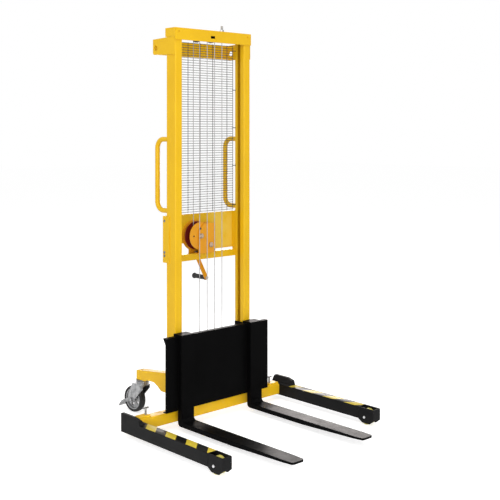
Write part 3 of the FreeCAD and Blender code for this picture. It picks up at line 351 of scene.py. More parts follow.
def drumFinish():
    finish = paintedSteel("drumPaint", orangePaint)
    # painted shade: the dark red between the flanges and the darker orange behind the rear flange stand partly for the
    # shadow there
    behind = finish.y > drumToneAndShade["rear"]
    between = (finish.y > drumToneAndShade["front"]) * (finish.y < drumToneAndShade["rear"])
    rim = finish.tint(behind, finish.now("Base Color"), drumToneAndShade["rearFlangeAndShade"])
    finish.set(Base_Color=finish.tint(between, rim, drumToneAndShade["inside"]))
    return finish


drumPaint = drumFinish()

# Crank: painted flat bar, the pin that carries the grip is bright
gripLow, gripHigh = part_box("crank_grip")
gripX, gripZ = (gripLow.x + gripHigh.x) / 2, (gripLow.z + gripHigh.z) / 2
crankZone = {"front": mastY + 0.1578, "rear": mastY + 0.1642, "reach": 0.014, "pin": (0.50, 0.50, 0.51)}


def crankFinish():
    finish = paintedSteel("crankPaint", orangePaint)
    outside = (finish.y < crankZone["front"]) + (finish.y > crankZone["rear"])
    near = finish.reach({"X": finish.x - gripX, "Z": finish.z - gripZ}) < crankZone["reach"]
    pin = outside * near
    finish.set(Base_Color=finish.tint(pin, finish.now("Base Color"), crankZone["pin"]), Metallic=pin)
    return finish


crankPaint = crankFinish()

# Rubber, plastics, the cast hub, the rope's wires and the guard's coat: two tones in patches over a fine grain
tyreRubber = {"colour": (0.010, 0.010, 0.0105), "other": (0.034, 0.032, 0.030), "share": 0.6,
              "patches": (55.0, 6.0, 0.65, 0.42, 0.75), "rough": 0.62, "patchRough": 0.2, "metal": 0.0,
              "specular": 0.3, "grain": (800.0, 3.0, 0.6), "coarse": (120.0, 3.0, 0.5), "coarseShare": 0.5,
              "relief": (0.25, 0.0003)}
gripPlastic = {"colour": (0.009, 0.009, 0.0095), "other": (0.020, 0.020, 0.021), "share": 1.0,
               "patches": (80.0, 5.0, 0.6, 0.45, 0.75), "rough": 0.48, "patchRough": 0.18, "metal": 0.0,
               "specular": 0.35, "grain": (500.0, 2.0, 0.5), "pores": 1400.0, "relief": (0.2, 0.0002)}
rollerResin = {"colour": (0.60, 0.52, 0.09), "other": (0.50, 0.44, 0.08), "share": 1.0,
               "patches": (24.0, 4.0, 0.55, 0.3, 0.72), "rough": 0.40, "patchRough": 0.0, "metal": 0.0,
               "specular": 0.5, "grain": (300.0, 3.0, 0.6), "relief": (0.12, 0.0002),
               "scuffs": (120.0, 6.0, 0.65, 0.55, 0.75), "scuffed": (0.22, 0.19, 0.06), "scuffShare": 0.4,
               "scuffRough": 0.25}
castHub = {"colour": (0.36, 0.365, 0.37), "other": (0.23, 0.23, 0.235), "share": 1.0,
           "patches": (45.0, 4.0, 0.55, 0.35, 0.7), "rough": 0.40, "patchRough": 0.15, "metal": 0.75,
           "specular": 0.5, "grain": (420.0, 3.0, 0.6), "relief": (0.3, 0.0002), "rounding": 0.001}
ropeStrand = {"colour": (0.40, 0.39, 0.39), "other": (0.25, 0.24, 0.24), "share": 0.6,
              "patches": (40.0, 5.0, 0.6, 0.4, 0.75), "rough": 0.42, "patchRough": 0.15, "metal": 0.35,
              "specular": 0.5, "grain": (1500.0, 2.0, 0.5, (1.0, 1.0, 0.35)), "relief": (0.5, 0.0003)}
guardPaint = {"colour": (0.030, 0.031, 0.032), "other": (0.050, 0.051, 0.052), "share": 1.0,
              "patches": (90.0, 4.0, 0.6, 0.38, 0.7), "rough": 0.42, "patchRough": 0.16, "metal": 0.0,
              "specular": 0.5, "grain": (900.0, 2.0, 0.5), "relief": (0.2, 0.0001)}


def mottled(name, look):
    finish = Finish(name)
    patch = finish.patches(*look["patches"])
    finish.set(Base_Color=finish.tint(patch * look["share"], look["colour"], look["other"]), Metallic=look["metal"],
               Roughness=look["rough"] + patch * look["patchRough"], Specular_IOR_Level=look["specular"])
    height = finish.noise(*look["grain"])
    if "coarse" in look:
        height = height + finish.noise(*look["coarse"]) * look["coarseShare"]
    if "pores" in look:
        height = finish.spots(look["pores"]) + height
    soft = finish.rounded(look["rounding"]) if "rounding" in look else None
    finish.relief(height, *look["relief"], soft)
    return finish


def rollerFinish(look):
    finish = mottled("rollerResin", look)
    scuff = finish.patches(*look["scuffs"])
    finish.set(Base_Color=finish.tint(scuff * look["scuffShare"], finish.now("Base Color"), look["scuffed"]),
               Roughness=look["rough"] + scuff * look["scuffRough"])
    return finish


rubber = mottled("tyreRubber", tyreRubber)
plastic = mottled("gripPlastic", gripPlastic)
resin = rollerFinish(rollerResin)
hub = mottled("castHub", castHub)
ropeSteel = mottled("ropeStrand", ropeStrand)
guardCoat = mottled("guardCoat", guardPaint)

# Hazard tape on the legs: slanted bands, counted forward from the first yellow one on the left leg
tape = {"start": mastY - 0.1085, "last": mastY - 0.5985, "firstBand": mastY - 0.1557, "band": 0.0735,
        "rightShift": 0.0452, "outer": 0.5225, "inner": 0.469, "top": 0.084, "clear": 0.00002, "inset": 0.0022,
        "thick": 0.00035, "rounding": 0.6, "rim": 0.9, "sharp": 0.5}
tapeLook = {"yellow": (0.60, 0.455, 0.042), "black": (0.006, 0.006, 0.006), "dirt": (0.10, 0.095, 0.07),
            "wobble": (90.0, 3.0, 0.5), "wobbleShare": 0.02, "rub": (34.0, 6.0, 0.66, 0.55, 0.74), "rubShare": 0.10,
            "grit": (260.0, 4.0, 0.6, 0.5, 0.7), "gritShare": 0.05, "rough": 0.30, "rubRough": 0.2, "specular": 0.08,
            "waves": (60.0, 3.0, 0.5), "grain": (700.0, 2.0, 0.5), "grainShare": 0.3, "relief": (0.15, 0.0004)}


def tapeFinish(look):
    finish = Finish("hazardTape")
    slant = (tape["firstBand"] - finish.y) + (tape["outer"] - abs(finish.x)) + (finish.x > 0.0) * tape["rightShift"]
    turn = (slant / tape["band"]) % 2.0  # yellow up to 1, then black up to 2
    wobble = (finish.noise(*look["wobble"]) - 0.5) * look["wobbleShare"]
    rub = finish.patches(*look["rub"])
    grit = finish.patches(*look["grit"])
    colour = finish.tint((turn + wobble) > 1.0, look["yellow"], look["black"])
    colour = finish.tint(rub * look["rubShare"] + grit * look["gritShare"], colour, look["dirt"])
    finish.set(Base_Color=colour, Roughness=look["rough"] + rub * look["rubRough"],
               Specular_IOR_Level=look["specular"])
    finish.relief(finish.noise(*look["waves"]) + finish.noise(*look["grain"]) * look["grainShare"], *look["relief"])
    return finish


hazard = tapeFinish(tapeLook)
anchorSteel = threadedSteel("anchorThread", boltSteel, anchorThread)
screwSteel = threadedSteel("screwThread", screwZinc, screwThread)
print("finishes made:", len(bpy.data.materials))

# Which CAD nodes each finish dresses
dressed = {
    yellow: ["base_crossbeam", "left_mast_post", "right_mast_post", "top_crosshead", "upper_rear_bracket",
             "winch_shelf", "left_caster_arm", "right_caster_arm", "left_push_handle", "right_push_handle"],
    bracketPaint: ["winch_bracket"],
    orange: ["winch_frame"],
    crankPaint: ["crank_arm"],
    drumPaint: ["winch_drum"],
    black: ["carriage_plate", "carriage_cheeks", "sheave_hangers"],
    forkPaint: ["left_fork", "right_fork"],
    legs: ["left_leg", "right_leg"],
    oiled: ["drum_shaft", "drum_gear", "pinion_shaft", "ratchet_wheel", "ratchet_pawl"],
    steel: ["roller_pins", "sheave_pins", "left_upper_mast_roller", "left_lower_mast_roller",
            "right_upper_mast_roller", "right_lower_mast_roller", "frame_bolts"],
    dark: ["lead_sheave", "return_sheave", "carriage_sheave_left", "carriage_sheave_right"],
    zinc: ["caster_mounts", "left_caster_fork", "right_caster_fork", "left_brake_pedal", "right_brake_pedal"],
    anchorSteel: ["rope_anchor"],
    screwSteel: ["left_lock_screw", "right_lock_screw"],
    resin: ["left_leg_roller", "right_leg_roller"],
    hub: ["left_caster_hub", "right_caster_hub"],
    rubber: ["left_caster_tyre", "right_caster_tyre"],
    plastic: ["crank_grip"],
    guardCoat: ["mesh_guard", "guard_hooks"],
    ropeSteel: ["rope_lead", "rope_falls", "rope_carriage_loops", "rope_turns"],
}
for finish, names in dressed.items():
    for name in names:
        for holder in nodes[name].material_slots:
            holder.material = finish.material
print("CAD nodes dressed:", sum(len(names) for names in dressed.values()))


def only(obj):
    bpy.ops.object.select_all(action="DESELECT")
    obj.select_set(True)
    bpy.context.view_layer.objects.active = obj


def openMesh(obj):
    only(obj)
    bpy.ops.object.mode_set(mode="EDIT")
    bpy.ops.mesh.select_all(action="SELECT")


def closeMesh():
    bpy.ops.object.mode_set(mode="OBJECT")


def choose(obj, kind, test):
    # picks verts, edges or faces of the open mesh by their place
    bpy.ops.mesh.select_mode(type={"verts": "VERT", "edges": "EDGE", "faces": "FACE"}[kind])
    bpy.ops.mesh.select_all(action="DESELECT")
    mesh = bmesh.from_edit_mesh(obj.data)
    for part in getattr(mesh, kind):
        part.select = bool(test(part))
    mesh.select_flush_mode()
    bmesh.update_edit_mesh(obj.data)


def middle(edge):
    return (edge.verts[0].co + edge.verts[1].co) / 2


def rise(edge):
    return abs(edge.verts[0].co.z - edge.verts[1].co.z)


def modify(obj, kind, **settings):
    only(obj)
    modifier = obj.modifiers.new(kind.lower(), kind)
    for key, value in settings.items():
        setattr(modifier, key, value)
    bpy.ops.object.modifier_apply(modifier=modifier.name)


def tidy(obj):
    openMesh(obj)
    bpy.ops.mesh.remove_doubles(threshold=1e-6)
    bpy.ops.mesh.normals_make_consistent(inside=False)
    closeMesh()


def capEnds(obj):
    openMesh(obj)
    bpy.ops.mesh.fill_holes(sides=0)
    closeMesh()
    tidy(obj)


def putAt(obj, spot, turn=(0.0, 0.0, 0.0)):
    only(obj)
    obj.rotation_euler = turn
    obj.location = spot
    bpy.ops.object.transform_apply(location=True, rotation=True, scale=True)


def copyOf(obj, name):
    only(obj)
    bpy.ops.object.duplicate(linked=False)
    twin = bpy.context.object
    twin.name = name
    return twin


def joined(objs, name):
    only(objs[0])
    for obj in objs[1:]:
        obj.select_set(True)
    bpy.ops.object.join()
    objs[0].name = name
    return objs[0]


def hand(obj, body, finish, stands=(), angle=32):
    # gives a finished piece its finish, its body and the nodes that it stands for
    only(obj)
    bpy.ops.object.shade_smooth_by_angle(angle=math.radians(angle))
    obj.data.name = obj.name
    obj.data.materials.clear()
    obj.data.materials.append(finish.material)
    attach(obj, body)
    if stands:
        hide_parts(*stands)


def turned(name, profile, sides):
    # a turned piece on the Z axis: a ring that is extruded and sized from one (height, radius) to the next
    height, radius = profile[0]
    bpy.ops.mesh.primitive_circle_add(vertices=sides, radius=radius, fill_type="NOTHING", location=(0, 0, height))
    obj = bpy.context.object
    obj.name = name
    putAt(obj, (0, 0, height))
    openMesh(obj)
    for before, after in zip(profile, profile[1:]):
        bpy.ops.mesh.extrude_region_move(TRANSFORM_OT_translate={"value": (0, 0, after[0] - before[0])})
        share = after[1] / before[1]
        bpy.ops.transform.resize(value=(share, share, 1), center_override=(0, 0, 0))
    closeMesh()
    tidy(obj)
    return obj


def rod(name, radius, length, sides, chamfer):
    # a cut length of wire or bar standing on Z, its ends broken
    bpy.ops.mesh.primitive_circle_add(vertices=sides, radius=radius, fill_type="NGON")
    obj = bpy.context.object
    obj.name = name
    openMesh(obj)
    bpy.ops.mesh.extrude_region_move(TRANSFORM_OT_translate={"value": (0, 0, length)})
    choose(obj, "edges", lambda edge: rise(edge) < 1e-9)
    bpy.ops.mesh.bevel(offset=chamfer, segments=1, affect="EDGES")
    closeMesh()
    tidy(obj)
    return obj


# Welded wire guard
guard = {"bars": (-0.1905, -0.1155, -0.0352, 0.050, 0.149, 0.1905), "barRadius": 0.0015, "barSides": 8,
         "wireRadius": 0.0015, "wireSides": 6, "rows": 70, "chamfer": 0.4}
guardLow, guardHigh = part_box("mesh_guard")


def makeGuard():
    tall, wide = guardHigh.z - guardLow.z, guardHigh.x - guardLow.x
    barRadius, wireRadius = guard["barRadius"], guard["wireRadius"]
    first = rod("guardBar", barRadius, tall, guard["barSides"], barRadius * guard["chamfer"])
    bars = []
    for x in guard["bars"]:
        bar = copyOf(first, "guardBar")
        putAt(bar, (x, guardLow.y + barRadius, guardLow.z))
        bars.append(bar)
    bpy.data.objects.remove(first)
    wires = rod("guardWire", wireRadius, wide, guard["wireSides"], wireRadius * guard["chamfer"])
    edge = 2 * wireRadius
    putAt(wires, (guardLow.x, guardHigh.y - wireRadius, guardLow.z + edge), (0, math.pi / 2, 0))
    pitch = (tall - 2 * edge) / (guard["rows"] - 1)
    modify(wires, "ARRAY", count=guard["rows"], use_relative_offset=False, use_constant_offset=True,
           constant_offset_displace=(0, 0, pitch))
    hand(joined([wires] + bars, "guardWires"), "mast", guardCoat, ["mesh_guard"], angle=40)


makeGuard()
print("guard: bars", len(guard["bars"]), "wires", guard["rows"])

# Wire rope: six strands laid round, bent along its run
rope = {"radius": 0.0018, "valley": 0.80, "strands": 6, "strandPoints": 4, "lay": 0.028, "steps": 10, "leastSteps": 8,
        "runSteps": 32, "smooth": 60, "y": mastY - 0.022, "falls": (-0.084, -0.034, 0.016, 0.066), "low": 0.330,
        "high": 1.945, "lastHigh": 1.938, "bend": 0.025, "leadY": mastY + 0.028, "tail": 0.004, "tailHandle": 0.0012,
        "drift": 0.05, "drumX": -0.0575, "drumZ": 0.931, "drumBend": 0.0265, "turnPitch": 0.0046,
        "turnsFrom": mastY + 0.0094, "halfTurns": 3}
quarter = 0.5523  # handle of a quarter circle, in radii
up, down = (0, 0, 1), (0, 0, -1)


def layRope(name, knots):
    # knots are (point, heading, handle before, handle after) along the run
    data = bpy.data.curves.new(name + "Run", "CURVE")
    data.dimensions = "3D"
    data.resolution_u = rope["runSteps"]
    spline = data.splines.new("BEZIER")
    spline.bezier_points.add(len(knots) - 1)
    for knot, (point, heading, before, after) in zip(spline.bezier_points, knots):
        ahead = Vector(heading).normalized()
        knot.co = point
        knot.handle_left_type = knot.handle_right_type = "FREE"
        knot.handle_left = Vector(point) - ahead * before
        knot.handle_right = Vector(point) + ahead * after
    run = bpy.data.objects.new(name + "Run", data)
    bpy.context.scene.collection.objects.link(run)
    length = spline.calc_length()
    bpy.ops.mesh.primitive_circle_add(vertices=rope["strands"] * rope["strandPoints"], radius=rope["radius"],
                                      fill_type="NOTHING")
    obj = bpy.context.object
    obj.name = name
    openMesh(obj)
    choose(obj, "verts", lambda vert: vert.index % rope["strandPoints"] == 0)
    bpy.ops.transform.resize(value=(rope["valley"], rope["valley"], 1), center_override=(0, 0, 0))
    closeMesh()
    turns = length / rope["lay"]
    count = max(rope["leastSteps"], int(turns * rope["steps"]))
    modify(obj, "SCREW", axis="Z", angle=2 * math.pi * turns, screw_offset=length, steps=count, render_steps=count,
           use_merge_vertices=False)
    capEnds(obj)
    modify(obj, "CURVE", object=run, deform_axis="POS_Z")
    tidy(obj)
    bpy.data.objects.remove(run)
    return obj


def halfLoop(name, x, z, rising):
    # a rope bent half round a sheave whose axis runs front to back
    bend, y = rope["bend"], rope["y"]
    step = quarter * bend
    return layRope(name, [((x + bend, y, z), (0, 0, rising), step, step),
                          ((x, y, z + rising * bend), (-1, 0, 0), step, step),
                          ((x - bend, y, z), (0, 0, -rising), step, step)])


def handRope(piece, body, node):
    hand(piece, body, ropeSteel, [node], angle=rope["smooth"])


def makeFalls():
    y, low = rope["y"], rope["low"]
    falls = []
    for x, top in zip(rope["falls"], (rope["high"],) * 3 + (rope["lastHigh"],)):  # the last one ends at its anchor
        third = (top - low) / 3
        falls.append(layRope("ropeFall", [((x, y, low), up, third, third), ((x, y, top), up, third, third)]))
    piece = joined(falls, "ropeFalls")
    handRope(piece, "mast", "rope_falls")
    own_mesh(piece)


def makeLoops():
    left, right = rope["falls"][0::2], rope["falls"][1::2]
    loops = [halfLoop("ropeLoop", (a + b) / 2, rope["low"], -1) for a, b in zip(left, right)]
    handRope(joined(loops, "ropeLoops"), "carriage", "rope_carriage_loops")


def makeLead():
    # from the drum up to the lead sheave, and the loop over the return sheave
    x, y, drumZ, high = rope["falls"][0], rope["leadY"], rope["drumZ"], rope["high"]
    bend, coil, stub = rope["bend"], rope["drumBend"], rope["tailHandle"]
    step, coilStep = quarter * bend, quarter * coil
    lean = rope["turnPitch"] / 2
    pull = (high - drumZ) / 3
    lead = layRope("ropeLead", [
        ((x + 2 * coil, y - lean, drumZ + rope["tail"]), down, stub, stub),
        ((x + 2 * coil, y - lean, drumZ), down, stub, coilStep),
        ((x + coil, y - lean / 2, drumZ - coil), (-1, rope["drift"], 0), coilStep, coilStep),
        ((x, y, drumZ), up, coilStep, pull),
        ((x, y, high), up, pull, step),
        ((x, y - bend, high + bend), (0, -1, 0), step, step),
        ((x, rope["y"], high), down, step, step)])
    over = halfLoop("ropeOver", (rope["falls"][1] + rope["falls"][2]) / 2, high, 1)
    handRope(joined([lead, over], "ropeLead"), "mast", "rope_lead")


def makeTurns():
    coil, lean = rope["drumBend"], rope["turnPitch"] / 2
    coilStep = quarter * coil
    knots = []
    for count in range(2 * rope["halfTurns"] + 1):
        turn = count * math.pi / 2
        point = (rope["drumX"] + coil * math.cos(turn), rope["turnsFrom"] + lean * count / 2,
                 rope["drumZ"] + coil * math.sin(turn))
        heading = (-math.sin(turn), lean / 2 / (coil * math.pi / 2), math.cos(turn))
        knots.append((point, heading, coilStep, coilStep))
    handRope(layRope("ropeTurns", knots), "drum", "rope_turns")


makeFalls()
makeLoops()
makeLead()
makeTurns()
print("ropes laid:", len(rope["falls"]), "falls, lead, loops and", rope["halfTurns"], "half turns")


# Hazard tape strips
def makeTape(side, sign):
    wide = tape["outer"] - tape["inner"] - 2 * tape["inset"]
    bpy.ops.mesh.primitive_plane_add(size=1)
    obj = bpy.context.object
    obj.name = side + "HazardTape"
    obj.scale = (wide, tape["start"] - tape["last"], 1)
    putAt(obj, (sign * (tape["outer"] + tape["inner"]) / 2, (tape["start"] + tape["last"]) / 2,
                tape["top"] + tape["clear"]))
    openMesh(obj)
    bpy.ops.mesh.extrude_region_move(TRANSFORM_OT_translate={"value": (0, 0, tape["thick"])})
    choose(obj, "edges", lambda edge: middle(edge).z > tape["top"] + tape["thick"] * tape["rim"]
           and edge.calc_face_angle(0.0) > tape["sharp"])
    bpy.ops.mesh.bevel(offset=tape["thick"] * tape["rounding"], segments=2, affect="EDGES")
    closeMesh()
    tidy(obj)
    hand(obj, side + "_leg", hazard)


sides = {"left": -1, "right": 1}
for side, sign in sides.items():
    makeTape(side, sign)
print("tape on both legs")

# Crank grip, ribbed between a collar and a knob. The collar is (along, radius), a rib is (share of its pitch, rise),
# the knob is (share of its length, share of its radius)
grip = {"radius": 0.0119, "bore": 0.0052, "sides": 40, "margin": 0.010, "ribs": 9, "knob": 0.0155, "knobLength": 0.020,
        "collar": ((0.0, 0.0125), (0.001, 0.0135), (0.004, 0.0135), (0.0075, 0.0119)),
        "rib": ((0.0, 0.0), (0.12, -0.0007), (0.30, -0.0007), (0.42, 0.0), (0.71, 0.0004)),
        "knobShape": ((0.0, 0.74), (0.18, 0.86), (0.36, 0.95), (0.55, 1.0), (0.72, 0.99), (0.86, 0.92), (0.95, 0.80),
                      (1.0, 0.62))}


def makeGrip():
    length = gripHigh.y - gripLow.y
    start, end = grip["margin"], length - grip["knobLength"] - grip["margin"]
    pitch = (end - start) / grip["ribs"]
    profile = [(0.0, grip["bore"]), *grip["collar"]]
    for count in range(grip["ribs"]):
        profile += [(start + count * pitch + share * pitch, grip["radius"] + out) for share, out in grip["rib"]]
    profile += [(length - grip["knobLength"] * (1 - share), grip["knob"] * size) for share, size in grip["knobShape"]]
    profile += [(length, grip["bore"]), (0.0, grip["bore"])]
    obj = turned("crankGrip", profile, grip["sides"])
    putAt(obj, (gripX, gripLow.y, gripZ), (-math.pi / 2, 0, 0))
    hand(obj, "grip", plastic, ["crank_grip"], angle=45)


makeGrip()
print("grip turned with", grip["ribs"], "ribs")

# Caster tyres: crowned rubber with a mould line. The wall is (share of half the width, rise over the rim)
tyre = {"radius": 0.068, "rim": 0.053, "half": 0.018, "sides": 72, "turn": math.radians(5.0),
        "wall": ((0.83, 0.0), (0.90, 0.003), (0.97, 0.0055), (1.0, 0.0085), (0.97, 0.0105), (0.88, 0.0122),
                 (0.72, 0.0135), (0.50, 0.0144), (0.28, 0.0149), (0.06, 0.0150)),
        "mouldLine": ((0.0006, 0.0), (0.0004, -0.0004), (-0.0004, -0.0004), (-0.0006, 0.0))}


def makeTyre(side, sign):
    low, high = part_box(side + "_caster_tyre")
    wall = [(share * tyre["half"], tyre["rim"] + out) for share, out in tyre["wall"]]
    line = [(along, tyre["radius"] + out) for along, out in tyre["mouldLine"]]
    profile = wall + line + [(-along, radius) for along, radius in reversed(wall)]
    profile.append(profile[0])
    obj = turned(side + "CasterTyre", profile, tyre["sides"])
    putAt(obj, (low + high) / 2, (0, math.pi / 2, -sign * tyre["turn"]))
    hand(obj, side + "_caster_wheel", rubber, [side + "_caster_tyre"], angle=50)


for side, sign in sides.items():
    makeTyre(side, sign)
print("tyres turned")

# Bolts of the frame: hexagon heads on washers, and the pin of the pawl
bolt = {"side": 0.2555, "places": ((0.045, 1.017), (0.045, 0.860), (0.045, 0.843)), "turn": 0.3, "turnEach": 0.5,
        "foot": ((-0.0535, 0.044), (0.022, 0.044)), "footZ": 0.844, "footTurn": 0.4,
        "bore": 0.003, "washerSide": 0.8, "washerRim": 0.0004, "washerSides": 24, "corner": 0.0004, "crown": 0.0005,
        "crownSteps": ((0.11, 0.0005), (0.17, 0.0), (0.06, -0.0003)),
        "small": {"across": 0.0055, "head": 0.0040, "washer": 0.0070, "thick": 0.0009},
        "large": {"across": 0.0080, "head": 0.0058, "washer": 0.0098, "thick": 0.0014}}
pawlPin = {"x": 0.041, "z": 0.9145, "sides": 32,
           "profile": ((0.056, 0.0005), (0.056, 0.004), (0.060, 0.004), (0.060, 0.008), (0.0676, 0.008),
                       (0.0676, 0.004), (0.0745, 0.004), (0.0745, 0.0075), (0.0750, 0.008), (0.0765, 0.008),
                       (0.0774, 0.0071), (0.0774, 0.0005), (0.056, 0.0005))}


def makeBolt(size):
    thick, washer, across, tall = size["thick"], size["washer"], size["across"], size["head"]
    bore = bolt["bore"]
    ring = turned("boltWasher", [(0.0, bore), (0.0, washer), (thick * bolt["washerSide"], washer),
                                 (thick, washer - bolt["washerRim"]), (thick, bore), (0.0, bore)], bolt["washerSides"])
    bpy.ops.mesh.primitive_circle_add(vertices=6, radius=across, fill_type="NGON", location=(0, 0, thick))
    head = bpy.context.object
    putAt(head, (0, 0, thick))
    openMesh(head)
    bpy.ops.mesh.extrude_region_move(TRANSFORM_OT_translate={"value": (0, 0, tall - thick - bolt["crown"])})
    choose(head, "faces", lambda face: face.normal.z > 0.5 and face.calc_center_median().z > tall * 0.8)  # its top
    for share, depth in bolt["crownSteps"]:
        bpy.ops.mesh.inset(thickness=across * share, depth=depth)
    choose(head, "edges", lambda edge: rise(edge) > tall * 0.4)  # the six corners
    bpy.ops.mesh.bevel(offset=bolt["corner"], segments=2, affect="EDGES")
    closeMesh()
    tidy(head)
    return joined([ring, head], "boltMaster")


def setBolts(size, spots):
    # copies one bolt to each (place, turn)
    master = makeBolt(size)
    copies = []
    for place, turn in spots:
        one = copyOf(master, "frameBolt")
        putAt(one, place, turn)
        copies.append(one)
    bpy.data.objects.remove(master)
    return copies


def makeBolts():
    beside = [((sign * bolt["side"], mastY + y, z),
               (bolt["turn"] + bolt["turnEach"] * count, sign * math.pi / 2, 0))
              for sign in sides.values() for count, (y, z) in enumerate(bolt["places"])]
    below = [((x, mastY + y, bolt["footZ"]), (0, 0, bolt["footTurn"])) for x, y in bolt["foot"]]
    bolts = setBolts(bolt["small"], beside) + setBolts(bolt["large"], below)
    pin = turned("pawlPin", pawlPin["profile"], pawlPin["sides"])
    putAt(pin, (pawlPin["x"], mastY, pawlPin["z"]), (-math.pi / 2, 0, 0))
    # the bolts take the dark steel finish, whose darkness is partly painted shade around them
    hand(joined([pin] + bolts, "frameBolts"), "mast", dark, ["frame_bolts"], angle=30)


# Plastic plug in the front of the winch frame: the table gives (share of the lip, share of the radius)
plug = {"x": -0.0615, "y": -0.002, "z": 0.9688, "radius": 0.0052, "lip": 0.0012, "centre": 0.0006, "sides": 32,
        "dome": ((0.0, 1.0), (0.3, 1.0), (0.75, 0.9), (1.0, 0.7), (0.8, 0.45), (0.5, 0.3))}


def makePlug():
    lip, radius, centre = plug["lip"], plug["radius"], plug["centre"]
    dome = [(along * lip, share * radius) for along, share in plug["dome"]]
    piece = turned("framePlug", [(0.0, centre), *dome, (dome[-1][0], centre), (0.0, centre)], plug["sides"])
    putAt(piece, (plug["x"], mastY + plug["y"], plug["z"]), (math.pi / 2, 0, 0))
    hand(piece, "mast", plastic, angle=40)


makeBolts()
makePlug()
print("bolts set:", 2 * len(bolt["places"]) + len(bolt["foot"]))

# Weld beads where the push handles meet the posts: the table gives (share of the height, share of the spread)
weld = {"bar": 0.0125, "inside": 0.0006, "height": 0.0042, "spread": 0.0040, "sides": 48, "post": 0.22975,
        "face": 0.036, "places": (1.066, 1.425), "turn": 0.2, "ripple": (1.02, 1.02, 1.05), "rippleEach": 3,
        "rippleFrom": 0.0005, "bead": ((0.0, 1.0), (0.25, 0.86), (0.55, 0.52), (0.82, 0.22), (1.0, 0.0))}


def makeWelds():
    inner = weld["bar"] - weld["inside"]
    slope = [(share * weld["height"], weld["bar"] + out * weld["spread"]) for share, out in weld["bead"]]
    profile = [(0.0, inner), *slope, (weld["height"], inner), (0.0, inner)]
    beads = []
    for sign in sides.values():
        for z in weld["places"]:
            bead = turned("weldBead", profile, weld["sides"])
            openMesh(bead)
            choose(bead, "verts", lambda vert: vert.index % weld["rippleEach"] == 0
                   and vert.co.z > weld["rippleFrom"])
            bpy.ops.transform.resize(value=weld["ripple"], center_override=(0, 0, 0))
            closeMesh()
            putAt(bead, (sign * weld["post"], mastY + weld["face"], z), (-math.pi / 2, 0, sign * weld["turn"]))
            beads.append(bead)
    hand(joined(beads, "handleWelds"), "mast", yellow, angle=50)


makeWelds()

# Straight weld seams: posts on the beam, caster arms and winch bracket on the posts, roller housings on the legs.
# Their runs are (x, y from the mast, z) on the right side, and each side has them
seam = {"radius": 0.0024, "legShare": 0.6, "step": 0.0032, "sides": 8, "smooth": 60, "start": 0.7, "tip": 0.3,
        "ripple": ((0.5, 1.18), (0.95, 0.92)), "mast": (
            ((0.2090, -0.036, 0.0862), (0.2505, -0.036, 0.0862)), ((0.2079, -0.034, 0.0862), (0.2079, 0.013, 0.0862)),
            ((0.2516, -0.034, 0.0862), (0.2516, 0.013, 0.0862)), ((0.2517, 0.0361, 0.163), (0.2517, 0.0361, 0.252)),
            ((0.2078, 0.0361, 0.163), (0.2078, 0.0361, 0.252)), ((0.2092, 0.0361, 0.2571), (0.2503, 0.0361, 0.2571)),
            ((0.2092, 0.0361, 0.1579), (0.2503, 0.0361, 0.1579)), ((0.2517, 0.0100, 0.832), (0.2517, 0.0100, 0.872)),
            ((0.2517, 0.0100, 0.978), (0.2517, 0.0100, 1.018))),
        "leg": (((0.5224, -0.600, 0.030), (0.5224, -0.600, 0.081)), ((0.4691, -0.600, 0.030), (0.4691, -0.600, 0.081)))}


def makeSeam(run, sign, radius):
    start, end = (Vector((sign * x, mastY + y, z)) for x, y, z in run)
    line = end - start
    count = round(line.length / seam["step"])
    step = line.length / count
    profile = [(0.0, radius * seam["tip"]), (0.0, radius * seam["start"])]
    for k in range(count):
        profile += [((k + share) * step, radius * size) for share, size in seam["ripple"]]
    profile.append((line.length, radius * seam["tip"]))
    bead = turned("seamBead", profile, seam["sides"])
    capEnds(bead)
    putAt(bead, start, line.to_track_quat("Z", "Y").to_euler())
    return bead


def makeSeams():
    beads = [makeSeam(run, sign, seam["radius"]) for sign in sides.values() for run in seam["mast"]]
    hand(joined(beads, "frameSeams"), "mast", yellow, angle=seam["smooth"])
    for side, sign in sides.items():
        beads = [makeSeam(run, sign, seam["radius"] * seam["legShare"]) for run in seam["leg"]]
        hand(joined(beads, side + "LegSeams"), side + "_leg", legs, angle=seam["smooth"])


makeSeams()
print("weld beads and seams laid")

# Pale floor, white room, soft lights, camera
studio = {"floorSize": 60, "floor": (0.78, 0.78, 0.78), "floorRough": 0.9, "floorGlow": 0.62, "white": (1.0, 1.0, 1.0),
          "dark": (0.0, 0.0, 0.0), "roomLight": 0.48}


def makeFloor():
    bpy.ops.mesh.primitive_plane_add(size=studio["floorSize"])
    floor = bpy.context.object
    floor.name = "studioFloor"
    finish = Finish("floorWhite")
    finish.set(Base_Color=studio["floor"], Roughness=studio["floorRough"], Specular_IOR_Level=0.0,
               Emission_Color=finish.tint(finish.shown(), studio["dark"], studio["white"]),
               Emission_Strength=studio["floorGlow"])
    floor.data.materials.append(finish.material)


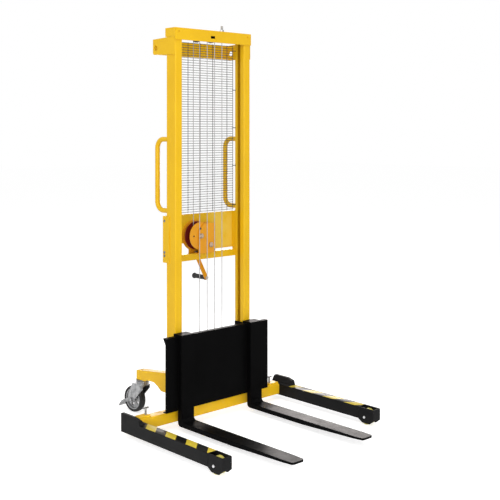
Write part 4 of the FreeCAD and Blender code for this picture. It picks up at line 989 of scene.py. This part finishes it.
def makeWorld():
    world = bpy.data.worlds.new("studioRoom")
    bpy.context.scene.world = world
    world.use_nodes = True
    room = ShaderTree(world.node_tree)
    back = room.tree.nodes["Background"]
    room.feed(back.inputs["Color"], studio["white"])
    room.feed(back.inputs["Strength"], room.fade(room.shown(), 0.0, 1.0, studio["roomLight"], 1.0))


lights = {
    "topSoft": {"at": (-0.6, -0.8, 4.6), "aim": (0, 0.1, 0.6), "size": (3.4, 3.4), "power": 70},
    "leftSoft": {"at": (-4.0, -1.4, 2.3), "aim": (0, 0.1, 1.0), "size": (2.6, 2.6), "power": 66},
    "frontSoft": {"at": (0.5, -4.7, 1.7), "aim": (0, 0.1, 0.7), "size": (2.6, 2.6), "power": 39},
    "eyeSoft": {"at": (-2.7, -3.3, 1.1), "aim": (0, 0.1, 0.8), "size": (1.6, 1.6), "power": 45},
    "lowSoft": {"at": (-1.9, -2.9, 0.5), "aim": (0, 0.2, 0.0), "size": (1.2, 0.4), "power": 1.0, "spread": 22},
    "farGlow": {"at": (2.61, 2.58, 1.06), "aim": (0, 0.22, 0.5), "size": (2.3, 0.72), "power": 12,
                "tint": (1.0, 0.93, 0.90), "spread": 90},
}


def makeLights():
    for name, look in lights.items():
        data = bpy.data.lights.new(name, "AREA")
        data.shape = "RECTANGLE"
        data.size, data.size_y = look["size"]
        data.energy = look["power"]
        data.color = look.get("tint", studio["white"])
        data.spread = math.radians(look.get("spread", 180))
        lamp = bpy.data.objects.new(name, data)
        bpy.context.scene.collection.objects.link(lamp)
        lamp.location = look["at"]
        lamp.rotation_euler = (Vector(look["aim"]) - Vector(look["at"])).to_track_quat("-Z", "Y").to_euler()
        lamp.visible_camera = False


eye = {"at": (-3.0905, mastY - 3.6225, 1.4627), "turn": -42.983, "angle": 30.294, "shift": -0.2365}


def makeCamera():
    data = bpy.data.cameras.new("photoEye")
    data.angle = math.radians(eye["angle"])
    data.shift_y = eye["shift"]
    camera = bpy.data.objects.new("photoEye", data)
    bpy.context.scene.collection.objects.link(camera)
    camera.location = eye["at"]
    camera.rotation_euler = (math.pi / 2, 0, math.radians(eye["turn"]))
    bpy.context.scene.camera = camera


makeFloor()
makeWorld()
makeLights()
makeCamera()
bpy.context.scene.view_settings.view_transform = "Standard"
print("floor, room, lights and camera set")
